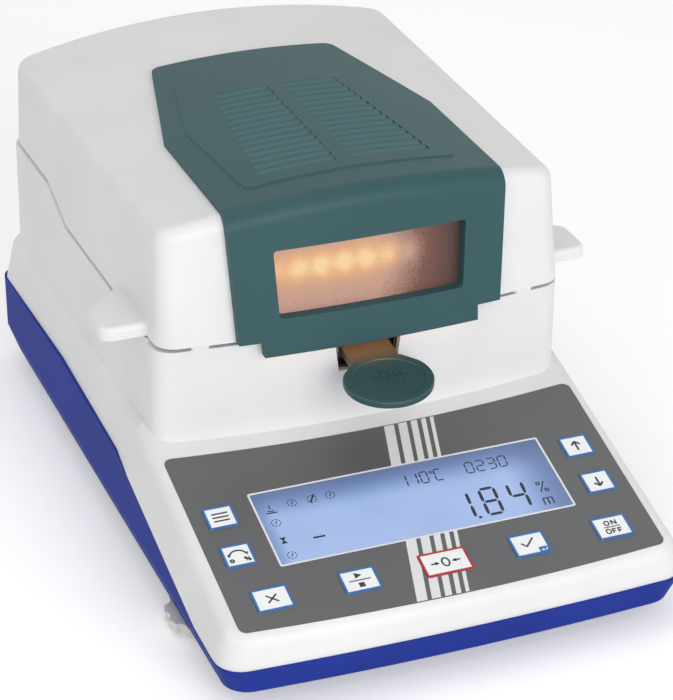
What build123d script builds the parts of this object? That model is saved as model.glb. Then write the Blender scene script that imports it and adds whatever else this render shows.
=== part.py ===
from build123d import *
from math import cos, degrees, radians, sin
import os

# A halogen moisture analyzer, in millimetres.
# +X is right as the user faces it, +Y runs to the rear and +Z up. The origin is on the bench,
# below the middle of the case.

os.makedirs("parts", exist_ok=True)

# Case, seen from above
case_half_width = 101.0
case_front = -164.5
case_front_bow = 3.5
case_rear = 166.0
case_rear_bow = 2.0
case_corner_radius = 11.0

# Seam between the tray and the housing, as heights at distances from the middle
tray_underside = 8.0
tray_wall = 3.0
tray_inset = 4.0
tray_flare_top = 20.0
seam_rear_height = 45.0
seam_high_height = 49.3
seam_high_y = 60.0
seam_bend_y = -24.0
seam_bend_height = 47.0
seam_front_y = -130.0
seam_front_height = 22.5
seam_nose_height = 20.5
seam_bend_radius = 70.0

# Lower housing: a level shoulder at the rear and a sloping deck in front
housing_wall = 3.0
shoulder_height = 67.0
shoulder_half_width = 95.5
shoulder_rear = 163.0
side_lean = 0.22
front_lean = 0.06
deck_start = -40.6
deck_angle = 14.84
deck_front = -163.0
deck_front_half_width = 97.2
deck_edge_radius = 6.0

# Tower around the drying chamber
tower_base_half_width = 91.5
tower_top_half_width = 90.4
tower_base_front = -53.5
tower_top_front = -57.0
tower_front_bow = 6.0
tower_rear = 155.0
tower_rear_bow = 3.5
tower_corner_radius = 10.0
rear_spread = 3.4
tower_top = 107.3
tower_rear_top = 117.5
step_low_y = 70.5
step_high_y = 99.5
front_gap = 1.3

# Lid
lid_gap = 1.0
lid_wall = 3.0
lid_base_half_width = 89.8
lid_top_half_width = 87.1
lid_base_front = -58.0
lid_top_front = -54.5
lid_front_bow = 6.5
lid_rear = 154.0
lid_rear_bow = 3.5
lid_corner_radius = 9.5
lid_crown_height = 167.5
lid_lean_drop = 7.5
lid_headroom = 13.6
lid_crown_drop = 9.5
lid_edge_radius = 6.0
wing_half_span = 109.5
wing_front = -42.5
wing_rear = -4.5
wing_tip_rear = -20.0
wing_thickness = 5.5
wing_corner_radius = 6.0
wing_edge_radius = 2.2

# Hood cover with the vents and the window
hood_proud_top = 1.8
hood_plateau_rise = 0.6
hood_plateau_rear = 69.8
hood_plateau_rear_half_width = 40.3
hood_plateau_kink_y = 20.2
hood_plateau_kink_half_width = 51.2
hood_plateau_front = -43.4
hood_plateau_front_half_width = 46.5
hood_plateau_radius = 4.0
hood_corner_radius = 5.0
hood_proud_front = 4.0
hood_rear = 94.5
hood_rear_half_width = 42.6
hood_kink_y = 18.9
hood_kink_half_width = 60.9
hood_base_half_width = 57.9
hood_lip_half_width = 47.3
hood_lip_bottom = 101.5
hood_seat = 6.0
apron_rear = -45.0
window_top_half_width = 39.0
window_base_half_width = 37.0
window_drop = 23.0
window_height = 23.3
window_bevel = 3.2
vent_count = 15
vent_pitch = 5.8
vent_run = 4.7
vent_depth = 1.5
vent_slot = 1.0
vent_first_y = 51.0
vent_bar = 6.6
vent_rear_length = 25.0
vent_front_length = 34.6

# Drying chamber and pan
pan_y = -3.0
pan_radius = 47.5
pan_bowl_radius = 44.5
pan_height = 6.0
pan_sheet = 0.5
pan_seat_height = 89.0
ring_sheet = 1.5
ring_radius = 51.0
ring_clearance = 0.7
ring_top = 93.6
well_half_width = 70.0
well_rear = 58.0
well_radius = 10.0
liner_sheet = 1.0
liner_clearance = 0.3
liner_floor = 75.0
liner_flange = 5.0
guard_sheet = 1.0
guard_radius = 49.4
spindle_radius = 3.0
spindle_hole_radius = 6.0
cross_arm_width = 5.0
cross_thickness = 2.0
cross_reach = 40.0
notch_half_width_top = 17.0
notch_half_width_base = 13.0
notch_floor = 86.0

# Handle of the pan ring
neck_half_width = 10.5
neck_thickness = 4.5
neck_end_y = -66.0
grip_y = -84.5
grip_height = 90.5
grip_half_width = 19.2
grip_half_depth = 17.0
grip_neck_reach = 14.0
grip_corner_reach = 5.0
grip_thickness = 3.2
grip_tilt = 9.0
grip_dish = 0.5

# Deck: foil, display and keys, measured down the slope from the foil's top edge
foil_top_y = -63.3
foil_half_width = 91.7
foil_length = 99.7
foil_top_bow = 4.9
foil_bottom_bow = 3.6
foil_corner_radius = 3.5
foil_thickness = 0.5
foil_recess = 0.6
display_half_width = 63.8
display_top = 29.3
display_length = 40.0
display_sheet = 1.2
display_depth = 6.0
display_frame = 3.0
key_side_x = 79.2
key_side_rows = (38.0, 60.0)
key_side_size = (12.4, 11.8)
key_row = 85.8
key_row_pitch = 36.9
key_row_size = (15.2, 12.0)
key_middle_size = (20.2, 12.4)
key_clearance = 0.2
key_proud = 0.4
key_height = 4.5
key_travel = 0.35
key_corner_radius = 0.8
dome_height = 0.8
dome_gap = 0.05
dome_radius = 4.0
pillar_radius = 2.2
keypad_board_thickness = 1.6
keypad_board_half_width = 84.8

# Lamps and reflector in the lid
frame_underside = 109.6
frame_thickness = 2.0
frame_clearance = 0.3
glass_half_width = 62.0
glass_front = -52.0
glass_rear = 46.0
glass_thickness = 2.0
glass_ledge = 4.0
lamp_spacing = 66.0
lamp_height = 121.0
lamp_radius = 5.0
lamp_tube_wall = 1.0
lamp_half_length = 54.0
lamp_cap_length = 6.0
lamp_cap_radius = 4.0
filament_radius = 1.1
socket_size = 12.0
bracket_sheet = 1.2
reflector_sheet = 0.8
reflector_drop = 19.5
reflector_rear = 47.0
reflector_front = -50.0
reflector_vault = 24.0
sensor_radius = 1.6
sensor_x = 40.0
sensor_y = 51.0
sensor_tip = 100.5

# Rubber rests between the lid and the chamber's front rim
rest_x = 72.0
rest_size = (8.0, 3.4)

# Lid hinges at the rear
hinge_y = 163.0
hinge_height = 118.0
hinge_spacing = 110.0
pin_radius = 2.0
pin_clearance = 0.05
knuckle_radius = 4.2
knuckle_width = 12.0
knuckle_gap = 0.3
ear_width = 4.0
strap_height = 22.0
ear_gap = 2.0


# Lid switch plunger on the chamber rim
plunger_x = 80.0
plunger_y = 30.0
plunger_radius = 2.5
plunger_clearance = 0.1
plunger_length = 16.0
plunger_guide = 10.0
plunger_gap = 0.1

# Levelling feet in front, fixed feet at the rear
foot_x = 85.0
foot_y = -95.5
foot_wheel_radius = 17.2
foot_wheel_height = 4.5
foot_flutes = 10
foot_flute_radius = 3.4
foot_pad_radius = 9.0
foot_pad_height = 2.5
foot_stem_radius = 4.0
foot_stem_clearance = 0.1
foot_boss_height = 18.0
foot_swivel_radius = 2.5
foot_swivel_clearance = 0.1
rear_foot_y = 110.0
rear_foot_length = 23.0
rear_foot_width = 16.0
rear_foot_x = 86.0
rear_pad_height = 2.0

# Weighing cell and its load path
cell_length = 80.0
cell_width = 26.0
cell_height = 24.0
cell_base = 16.0
cell_window = 12.0
cell_y = 24.0
receptor_radius = 9.0
receptor_height = 8.0

# Electronics
board_thickness = 1.6
main_board_size = (130.0, 70.0)
main_board_y = 112.0
main_board_height = 22.0
supply_size = (60.0, 52.0, 22.0)
chip_size = 14.0
chip_height = 2.0
driver_size = (10.0, 6.0)
capacitor_radius = 4.0
capacitor_height = 12.0
supply_x = -48.0
level_radius = 7.0
level_depth = 2.0
level_x = 62.0
level_y = 125.0

# Rear sockets
socket_rise = 15.0
inlet_x = -48.0
inlet_width = 27.0
inlet_body_height = 20.0
inlet_depth = 22.0
inlet_cavity_depth = 16.0
inlet_flange = 4.0
inlet_flange_thickness = 2.0
serial_x = 20.0
serial_width = 17.0
serial_height = 9.0
serial_depth = 11.0
serial_flange = 7.0
usb_x = 58.0
usb_size = 12.0
usb_depth = 12.0

# Screws and the bosses that take them
boss_x = 89.5
boss_front_y = -133.5
boss_rear_y = 140.0
boss_radius = 4.0
boss_height = 12.0
front_column_height = 20.3
screw_radius = 1.6
screw_head_radius = 3.0
screw_head_height = 2.0
screw_length = 12.0
lid_lean_height = lid_crown_height - lid_lean_drop
window_top = lid_crown_height - window_drop
window_bottom = window_top - window_height
reflector_top = lid_crown_height - reflector_drop
socket_height = shoulder_height + socket_rise
deck_rise = sin(radians(deck_angle))
deck_run = cos(radians(deck_angle))


def save(part, name):
    """Label a finished piece and write its STEP file."""
    part.label = name
    export_step(part, f"parts/{name}.step")


def plan(height, half_width, front, front_bow, rear, rear_bow, radius, spread=0.0):
    """A plan outline at one height: bowed ends, sides that spread to the rear, round corners."""
    rear_half = half_width + spread
    with BuildSketch(Plane.XY.offset(height)) as sketch:
        with BuildLine():
            ThreePointArc((-half_width, front), (0, front - front_bow), (half_width, front))
            Line((half_width, front), (rear_half, rear))
            ThreePointArc((rear_half, rear), (0, rear + rear_bow), (-rear_half, rear))
            Line((-rear_half, rear), (-half_width, front))
        make_face()
        fillet(sketch.vertices(), radius)
    return sketch.sketch


def side_region(points, radius=0.0, radius_points=()):
    """A region of the side view, drawn as (y, z) points, with chosen corners rounded."""
    with BuildSketch(Plane.YZ) as sketch:
        with BuildLine():
            Polyline(*points, close=True)
        make_face()
        if radius:
            chosen = [
                vertex
                for vertex in sketch.vertices()
                for (y, z) in radius_points
                if abs(vertex.Y - y) + abs(vertex.Z - z) < 0.01
            ]
            fillet(chosen, radius)
    return sketch.sketch


def seam_points(low):
    """The side view of what lies below the seam, from the height low up to the seam."""
    return [
        (-past, low),
        (-past, seam_nose_height),
        (-past / 2, seam_nose_height),
        (seam_front_y, seam_front_height),
        (seam_bend_y, seam_bend_height),
        (seam_high_y, seam_high_height),
        (past, seam_rear_height - 5.0),
        (past, low),
    ]


seam_bends = [(seam_front_y, seam_front_height), (seam_bend_y, seam_bend_height)]
wide = 2 * wing_half_span
# How far cutting tools reach past what they cut
past = 300.0
through = 60.0
through_wall = 40.0
in_front = 100.0
far_side = 150.0
crown_side_fall = 12.0
deck_plane = Plane(
    origin=(0, deck_start, shoulder_height), x_dir=(1, 0, 0), z_dir=(0, -deck_rise, deck_run)
)
foil_plane = Plane(
    origin=deck_plane.from_local_coords(Vector(0, (foil_top_y - deck_start) / deck_run, 0)),
    x_dir=(1, 0, 0),
    z_dir=(0, -deck_rise, deck_run),
)

# Base tray: a shell that narrows to its floor, with two fixed rear feet
def tray_solid(inset, floor):
    """The tray's outer form, or its hollow when inset by the wall."""
    low = plan(floor, case_half_width - tray_inset - inset, case_front + tray_inset + inset,
               case_front_bow, case_rear - tray_inset - inset, case_rear_bow,
               case_corner_radius - inset)
    high = plan(tray_flare_top, case_half_width - inset, case_front + inset, case_front_bow,
                case_rear - inset, case_rear_bow, case_corner_radius - inset)
    with BuildPart() as form:
        loft([low, high])
        extrude(high, amount=40)
    return form.part


foot_places = [(-foot_x, foot_y), (foot_x, foot_y)]
rear_foot_places = [(-rear_foot_x, rear_foot_y), (rear_foot_x, rear_foot_y)]
boss_places = [(x * boss_x, y) for y in (boss_front_y, boss_rear_y) for x in (-1, 1)]
foot_boss_radius = foot_stem_radius + 5.0
standoff_radius = 4.0
main_board_corners = [
    (x * (main_board_size[0] / 2 - 6), main_board_y + y * (main_board_size[1] / 2 - 6))
    for x in (-1, 1)
    for y in (-1, 1)
]

with BuildPart() as tray:
    add(tray_solid(0.0, tray_underside))
    add(tray_solid(tray_wall, tray_underside + tray_wall), mode=Mode.SUBTRACT)
    # Bosses for the housing screws, the levelling screws, the cell and the main board
    with BuildSketch(Plane.XY.offset(tray_underside)):
        with Locations(*boss_places):
            Circle(boss_radius)
    extrude(amount=boss_height)
    with BuildSketch(Plane.XY.offset(tray_underside)):
        with Locations(*foot_places):
            Circle(foot_boss_radius)
    extrude(amount=foot_boss_height)
    with BuildSketch(Plane.XY.offset(tray_underside)):
        with Locations((0, cell_y + cell_length / 2 - 12.0)):
            Rectangle(cell_width, 24.0)
    extrude(amount=cell_base - tray_underside)
    with BuildSketch(Plane.XY.offset(tray_underside)):
        with Locations(*main_board_corners):
            Circle(standoff_radius)
    extrude(amount=main_board_height - tray_underside)
    # Bores for the stems of the levelling screws
    with BuildSketch(Plane.XY):
        with Locations(*foot_places):
            Circle(foot_stem_radius + foot_stem_clearance)
    extrude(amount=through, mode=Mode.SUBTRACT)
    # Screw holes up through the housing bosses
    with BuildSketch(Plane.XY):
        with Locations(*boss_places):
            Circle(screw_radius)
    extrude(amount=through, mode=Mode.SUBTRACT)
    with BuildSketch(Plane.XY):
        with Locations(*boss_places):
            Circle(screw_head_radius)
    extrude(amount=tray_underside + screw_head_height, mode=Mode.SUBTRACT)
    # Everything above the seam is cut away
    extrude(side_region(seam_points(-10.0), seam_bend_radius, seam_bends), amount=wide, both=True,
            mode=Mode.INTERSECT)
    # Fixed rear feet
    with BuildSketch(Plane.XY.offset(rear_pad_height)):
        with Locations(*rear_foot_places):
            RectangleRounded(rear_foot_width, rear_foot_length, 3.0)
    extrude(amount=tray_underside - rear_pad_height + 1.0)
save(tray.part, "base_tray")

with BuildPart() as rear_pads:
    with BuildSketch(Plane.XY):
        with Locations(*rear_foot_places):
            RectangleRounded(rear_foot_width - 2.0, rear_foot_length - 2.0, 2.5)
    extrude(amount=rear_pad_height)
save(rear_pads.part, "rear_foot_pads")


# Upper housing: shoulder, deck and chamber tower as one shell
def lower_housing(inset):
    """The shoulder and the deck as a solid, or their hollow when inset by the wall."""
    depth = through
    top = shoulder_height - inset
    spread = side_lean * depth
    with BuildPart() as shoulder:
        loft([
            plan(top, shoulder_half_width - inset, deck_start - 30.0, 0.1, shoulder_rear - inset,
                 case_rear_bow, case_corner_radius - inset),
            plan(top - depth, shoulder_half_width - inset + spread, deck_start - 30.0, 0.1,
                 shoulder_rear - inset + front_lean * depth, case_rear_bow,
                 case_corner_radius - inset),
        ])
        split(bisect_by=Plane.XZ.offset(-deck_start), keep=Keep.BOTTOM)
    run = (deck_front - deck_start) / deck_run
    deck_spread = spread / deck_run
    with BuildPart() as deck:
        sections = []
        for drop in (inset, inset + depth):
            lean = (drop - inset) / depth
            with BuildSketch(deck_plane.offset(-drop)) as outline:
                narrow = shoulder_half_width - inset + lean * deck_spread
                broad = deck_front_half_width - inset + lean * deck_spread
                # The front wall stands almost upright, so a lower outline reaches further down the slope
                nose = run + inset - drop * deck_rise / deck_run - front_lean * drop
                with BuildLine():
                    ThreePointArc((-broad, nose), (0, nose - case_front_bow), (broad, nose))
                    Polyline((broad, nose), (narrow, 0), (narrow, 60), (-narrow, 60), (-narrow, 0),
                             (-broad, nose))
                make_face()
                fillet(outline.vertices().group_by(Axis.Y)[0], case_corner_radius - inset)
            sections.append(outline.sketch)
        loft(sections)
        split(bisect_by=Plane.XZ.offset(-deck_start), keep=Keep.TOP)
    return shoulder.part, deck.part


def step_region(lift, high):
    """The side view of what lies above the lid seam, raised by lift."""
    return [
        (-past, tower_top + lift),
        (step_low_y, tower_top + lift),
        (step_high_y, tower_rear_top + lift),
        (past, tower_rear_top + lift),
        (past, high),
        (-past, high),
    ]


def tower_form(inset):
    """The chamber tower's outer form, or its hollow when inset by the wall."""
    base = plan(seam_high_height, tower_base_half_width - inset, tower_base_front + inset,
                tower_front_bow, tower_rear - inset, tower_rear_bow, tower_corner_radius - inset,
                rear_spread)
    top = plan(tower_rear_top - inset, tower_top_half_width - inset, tower_top_front + inset,
               tower_front_bow, tower_rear - inset, tower_rear_bow, tower_corner_radius - inset,
               rear_spread)
    with BuildPart() as form:
        loft([base, top])
        extrude(side_region(step_region(-inset, 200.0)), amount=wide, both=True,
                mode=Mode.SUBTRACT)
    return form.part


well_bow = tower_front_bow * (well_half_width / tower_base_half_width) ** 2
well_front = tower_base_front - tower_front_bow + housing_wall - 0.9 + well_bow
notch_start = abs(tower_top_front) + tower_front_bow + 8.0
notch_depth = 30.0
socket_places = [
    (inlet_x, inlet_width, inlet_body_height),
    (serial_x, serial_width + 2.0, serial_height + 2.0),
    (usb_x, usb_size, usb_size),
]
key_bottom = key_height - key_proud + foil_recess - foil_thickness
board_depth = key_bottom + key_travel + dome_gap + dome_height
pillar_places = [
    (x * across, -down)
    for x in (-1, 1)
    for across, down in (
        (key_side_x, sum(key_side_rows) / 2),
        ((key_row_pitch + key_middle_size[0] / 2 - key_row_size[0] / 2) / 2, key_row),
    )
]
keys = {
    "key_menu": (-key_side_x, -key_side_rows[0], key_side_size),
    "key_unit": (-key_side_x, -key_side_rows[1], key_side_size),
    "key_up": (key_side_x, -key_side_rows[0], key_side_size),
    "key_down": (key_side_x, -key_side_rows[1], key_side_size),
    "key_escape": (-2 * key_row_pitch, -key_row, key_row_size),
    "key_start_stop": (-key_row_pitch, -key_row, key_row_size),
    "key_tare": (0.0, -key_row, key_middle_size),
    "key_enter": (key_row_pitch, -key_row, key_row_size),
    "key_on_off": (2 * key_row_pitch, -key_row, key_row_size),
}


def foil_outline(grow):
    """The control foil's outline on its own plane, with a clearance around it."""
    half = foil_half_width + grow
    top, bottom = grow, -foil_length - grow
    with BuildSketch(foil_plane) as sketch:
        with BuildLine():
            ThreePointArc((-half, top), (0, top - foil_top_bow), (half, top))
            Line((half, top), (half, bottom))
            ThreePointArc((half, bottom), (0, bottom - foil_bottom_bow), (-half, bottom))
            Line((-half, bottom), (-half, top))
        make_face()
        fillet(sketch.vertices(), foil_corner_radius)
    return sketch.sketch


def key_outlines(grow, plane):
    """All nine key outlines on one plane, each larger by a clearance all round."""
    with BuildSketch(plane) as sketch:
        for x, y, (width, height) in keys.values():
            with Locations((x, y)):
                RectangleRounded(width + 2 * grow, height + 2 * grow, key_corner_radius + grow)
    return sketch.sketch


def display_outline(grow, plane):
    """The display window's outline on one plane."""
    with BuildSketch(plane) as sketch:
        with Locations((0, -display_top - display_length / 2)):
            Rectangle(2 * (display_half_width + grow), display_length + 2 * grow)
    return sketch.sketch


def notch_outline(grow):
    """The front view of the notch that the handle's neck passes through."""
    base, top = notch_half_width_base + grow, notch_half_width_top + grow
    with BuildSketch(Plane.XZ.offset(notch_start)) as sketch:
        with BuildLine():
            Polyline((-base, notch_floor - grow), (base, notch_floor - grow),
                     (top, tower_rear_top), (-top, tower_rear_top), close=True)
        make_face()
    return sketch.sketch


shoulder_form, deck_form = lower_housing(0.0)
with BuildPart() as case:
    add(shoulder_form)
    add(deck_form)
    crest = case.edges().filter_by(
        lambda edge: abs(deck_plane.to_local_coords(edge.center()).Z) < 0.05
        and edge.center().Y < deck_start - 0.5
    )
    ridge = case.edges().filter_by(
        lambda edge: abs(edge.center().Z - shoulder_height) < 0.05
        and abs(edge.center().X) > shoulder_half_width - 3.0
    )
    fillet(crest + ridge, deck_edge_radius)
inner_shoulder, inner_deck = lower_housing(housing_wall)
with BuildPart() as housing:
    add(case.part)
    add(tower_form(0.0))
    add(inner_shoulder, mode=Mode.SUBTRACT)
    add(inner_deck, mode=Mode.SUBTRACT)
    add(tower_form(housing_wall), mode=Mode.SUBTRACT)
    extrude(side_region(seam_points(-through), seam_bend_radius, seam_bends), amount=wide, both=True,
            mode=Mode.SUBTRACT)
    # The chamber's well, the notch for the handle and the lower rim in front
    well = plan(tower_top - 20.0, well_half_width, well_front, well_bow, well_rear, 0.1,
                well_radius)
    extrude(well, amount=through, mode=Mode.SUBTRACT)
    extrude(notch_outline(0.0), amount=-notch_depth, mode=Mode.SUBTRACT)
    with BuildSketch(Plane.XY.offset(tower_top - front_gap)):
        with Locations((0, tower_base_front - 20.0)):
            Rectangle(wide, through)
    extrude(amount=20.0, mode=Mode.SUBTRACT)
    # The foil's recess, with openings for the display and the keys
    extrude(foil_outline(0.2), amount=-foil_recess, mode=Mode.SUBTRACT)
    extrude(display_outline(0.2, foil_plane), amount=-housing_wall - 3.0, mode=Mode.SUBTRACT)
    extrude(key_outlines(key_clearance, foil_plane), amount=-housing_wall - 3.0,
            mode=Mode.SUBTRACT)
    # Pillars that carry the keypad board under the deck
    with BuildSketch(foil_plane.offset(-board_depth)):
        with Locations(*pillar_places):
            Circle(pillar_radius)
    extrude(amount=board_depth - housing_wall + 0.5)
    # Holes for the rear sockets
    with BuildSketch(Plane.XZ.offset(-tower_rear - 20.0)):
        for x, width, height in socket_places:
            with Locations((x, socket_height)):
                Rectangle(width + 0.4, height + 0.4)
    extrude(amount=through_wall, mode=Mode.SUBTRACT)
    # Columns that take the case screws
    with BuildSketch(Plane.XY.offset(tray_underside + boss_height)):
        with Locations(*boss_places[2:]):
            Circle(boss_radius)
    extrude(amount=shoulder_height - tray_underside - boss_height - 1.0)
    with BuildSketch(Plane.XY.offset(tray_underside + boss_height)):
        with Locations(*boss_places[:2]):
            Circle(boss_radius)
    extrude(amount=front_column_height)
    with BuildSketch(Plane.XY.offset(tray_underside + boss_height)):
        with Locations(*boss_places):
            Circle(screw_radius)
    extrude(amount=screw_length, mode=Mode.SUBTRACT)
    # The guide of the lid switch plunger and the seat of the spirit level
    with BuildSketch(Plane.XY.offset(tower_top - plunger_guide)):
        with Locations((plunger_x, plunger_y)):
            Circle(plunger_radius + 2.5)
    extrude(amount=plunger_guide - housing_wall / 2)
    with BuildSketch(Plane.XY.offset(tower_top - plunger_length - 1.0)):
        with Locations((plunger_x, plunger_y)):
            Circle(plunger_radius + plunger_clearance)
    extrude(amount=through_wall, mode=Mode.SUBTRACT)
    with BuildSketch(Plane.XY.offset(tower_rear_top - level_depth)):
        with Locations((level_x, level_y)):
            Circle(level_radius)
    extrude(amount=20.0, mode=Mode.SUBTRACT)
save(housing.part, "upper_housing")


# Drying chamber: steel liner, guard ring and pan support
def well_box(inset, low, high):
    """An upright block of the well's plan, smaller by an inset all round."""
    outline = plan(low, well_half_width - inset, well_front + inset, well_bow,
                   well_rear - inset, 0.1, well_radius - inset)
    with BuildPart() as block:
        extrude(outline, amount=high - low)
    return block.part


flange_top = tower_top + liner_sheet
front_rim = tower_top - front_gap
with BuildPart() as liner:
    add(well_box(liner_clearance, liner_floor, flange_top))
    flange = plan(tower_top, well_half_width + liner_flange, well_front, well_bow,
                  well_rear + liner_flange, 0.1, well_radius)
    extrude(flange, amount=liner_sheet)
    add(well_box(liner_clearance + liner_sheet, liner_floor + liner_sheet, flange_top + 1.0),
        mode=Mode.SUBTRACT)
    with BuildSketch(Plane.XY.offset(front_rim)):
        with Locations((0, tower_base_front - 20.0)):
            Rectangle(wide, through)
    extrude(amount=20.0, mode=Mode.SUBTRACT)
    extrude(notch_outline(0.0), amount=-notch_depth, mode=Mode.SUBTRACT)
    with BuildSketch(Plane.XY.offset(liner_floor - 1.0)):
        with Locations((0, pan_y)):
            Circle(spindle_hole_radius)
    extrude(amount=liner_sheet + 2.0, mode=Mode.SUBTRACT)
save(liner.part, "chamber_liner")

ring_bottom = ring_top - ring_sheet
with BuildPart() as guard:
    with BuildSketch(Plane.XY.offset(liner_floor + liner_sheet)):
        with Locations((0, pan_y)):
            Circle(guard_radius)
            Circle(guard_radius - guard_sheet, mode=Mode.SUBTRACT)
    extrude(amount=ring_bottom - liner_floor - liner_sheet)
save(guard.part, "guard_ring")

cell_top = cell_base + cell_height
receptor_top = cell_top + receptor_height
with BuildPart() as support:
    with BuildSketch(Plane.XY.offset(receptor_top)):
        with Locations((0, pan_y)):
            Circle(spindle_radius)
    extrude(amount=pan_seat_height - receptor_top)
    with BuildSketch(Plane.XY.offset(pan_seat_height - cross_thickness)):
        with Locations((0, pan_y)):
            Rectangle(2 * cross_reach, cross_arm_width)
            Rectangle(cross_arm_width, 2 * cross_reach)
            Circle(2 * spindle_radius)
    extrude(amount=cross_thickness)
save(support.part, "pan_support")

with BuildPart() as pan:
    with BuildSketch(Plane.XZ) as pan_profile:
        bottom, rim = pan_seat_height, pan_seat_height + pan_height
        with BuildLine():
            Polyline((0, bottom), (pan_bowl_radius - 1.5, bottom),
                     (pan_bowl_radius, rim - pan_sheet), (pan_radius, rim - pan_sheet),
                     (pan_radius, rim), (pan_bowl_radius - pan_sheet, rim),
                     (pan_bowl_radius - 1.5 - pan_sheet, bottom + pan_sheet),
                     (0, bottom + pan_sheet), close=True)
        make_face()
    revolve(axis=Axis.Z)
save(Pos(0, pan_y, 0) * pan.part, "sample_pan")

# Pan ring and its handle, which reaches out through the notch
with BuildPart() as ring:
    with BuildSketch(Plane.XY.offset(ring_bottom)):
        with Locations((0, pan_y)):
            Circle(ring_radius)
            Circle(pan_bowl_radius + ring_clearance, mode=Mode.SUBTRACT)
    extrude(amount=ring_sheet)
save(ring.part, "pan_ring")

neck_root_y = pan_y - pan_radius - 0.6
with BuildPart() as handle:
    # The neck lies on the ring, passes the notch and dips towards the grip
    with BuildSketch(Plane.YZ) as neck_side:
        with BuildLine():
            Polyline((neck_root_y, ring_top), (neck_root_y, ring_top + 1.5),
                     (neck_end_y + 8.0, ring_top + 1.2),
                     (grip_y + grip_half_depth, grip_height + grip_thickness / 2 + 1.6),
                     (grip_y + 2.0, grip_height + grip_thickness / 2),
                     (grip_y + 2.0, grip_height - grip_thickness / 2),
                     (grip_y + grip_half_depth, grip_height - grip_thickness / 2),
                     (neck_end_y + 2.0, ring_top + 1.5 - neck_thickness),
                     (pan_y - ring_radius - 0.6, ring_top + 1.5 - neck_thickness),
                     (pan_y - ring_radius - 0.6, ring_top), close=True)
        make_face()
    extrude(amount=neck_half_width, both=True)
    grip_plane = Plane(origin=(0, grip_y, grip_height), x_dir=(1, 0, 0),
                       z_dir=(0, -sin(radians(grip_tilt)), cos(radians(grip_tilt))))
    with BuildSketch(grip_plane.offset(-grip_thickness / 2)):
        Ellipse(grip_half_width, grip_half_depth)
        # The rear corners are cut straight towards the neck
        with BuildLine():
            Polyline((-neck_half_width, grip_neck_reach), (-grip_half_width, grip_corner_reach),
                     (-grip_half_width, -grip_half_depth), (grip_half_width, -grip_half_depth),
                     (grip_half_width, grip_corner_reach), (neck_half_width, grip_neck_reach),
                     close=True)
        make_face(mode=Mode.INTERSECT)
    extrude(amount=grip_thickness)
    grip_rim = handle.edges().filter_by(
        lambda edge: edge.length > grip_half_depth and edge.center().Y < grip_y + 1.0
    )
    fillet(grip_rim, 0.8)
    # Thumb dish
    with BuildSketch(grip_plane.offset(grip_thickness / 2 - grip_dish)):
        Ellipse(grip_half_width - 4.0, grip_half_depth - 4.0)
    extrude(amount=grip_dish + 2.0, taper=-35, mode=Mode.SUBTRACT)
save(handle.part, "pan_handle")

# Weighing cell: a block with its bending window, fixed at the rear
with BuildPart() as cell:
    with BuildSketch(Plane.XY.offset(cell_base)):
        with Locations((0, cell_y)):
            Rectangle(cell_width, cell_length)
    extrude(amount=cell_height)
    with BuildSketch(Plane.YZ.offset(-cell_width)) as window_side:
        with Locations((cell_y - 12.0, cell_base + cell_height / 2),
                       (cell_y + 12.0, cell_base + cell_height / 2)):
            Circle(cell_window / 2)
        with Locations((cell_y, cell_base + cell_height / 2)):
            Rectangle(24.0, cell_window / 2)
    extrude(amount=2 * cell_width, mode=Mode.SUBTRACT)
save(cell.part, "weighing_cell")

with BuildPart() as receptor:
    with BuildSketch(Plane.XY.offset(cell_top)):
        with Locations((0, pan_y)):
            Circle(receptor_radius)
    extrude(amount=receptor_height, taper=15)
save(receptor.part, "load_receptor")


# Deck pieces: foil, keys, domes, display and keypad board
foil_top = foil_recess - foil_thickness
with BuildPart() as foil:
    extrude(foil_outline(0.0), amount=-foil_recess)
    extrude(foil_outline(1.0), amount=-foil_top, mode=Mode.SUBTRACT)
    extrude(display_outline(0.0, foil_plane), amount=-foil_recess, mode=Mode.SUBTRACT)
    extrude(key_outlines(key_clearance, foil_plane), amount=-foil_recess, mode=Mode.SUBTRACT)
save(foil.part, "control_foil")

for key_name, (x, y, (width, height)) in keys.items():
    with BuildPart() as key:
        with BuildSketch(foil_plane.offset(-key_bottom)):
            with Locations((x, y)):
                RectangleRounded(width, height, key_corner_radius)
        extrude(amount=key_height)
        fillet(key.faces().sort_by(Axis(foil_plane.origin, foil_plane.z_dir))[-1].edges(), 0.25)
    save(key.part, key_name)

with BuildPart() as domes:
    with BuildSketch(foil_plane.offset(-board_depth)):
        with Locations(*[(x, y) for x, y, size in keys.values()]):
            Circle(dome_radius)
    extrude(amount=dome_height, taper=40)
save(domes.part, "dome_switches")

with BuildPart() as keypad_board:
    with BuildSketch(foil_plane.offset(-board_depth)):
        with BuildLine():
            half = keypad_board_half_width
            slot = display_half_width + display_frame + 0.5
            top, low, floor = -display_top + 3.0, -display_top - display_length, -foil_length + 6.0
            Polyline((-half, top), (-slot, top), (-slot, low - display_frame - 0.5),
                     (slot, low - display_frame - 0.5), (slot, top), (half, top),
                     (half, floor), (-half, floor), close=True)
        make_face()
    extrude(amount=-keypad_board_thickness)
save(keypad_board.part, "keypad_board")

with BuildPart() as window_plate:
    extrude(display_outline(0.0, foil_plane.offset(-foil_top)), amount=-display_sheet)
save(window_plate.part, "display_window")

with BuildPart() as display:
    extrude(display_outline(-0.1, foil_plane.offset(-foil_top - display_sheet)),
            amount=-(housing_wall - foil_top - display_sheet))
    extrude(display_outline(display_frame, foil_plane.offset(-housing_wall)),
            amount=-display_depth)
save(display.part, "display_module")


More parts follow.
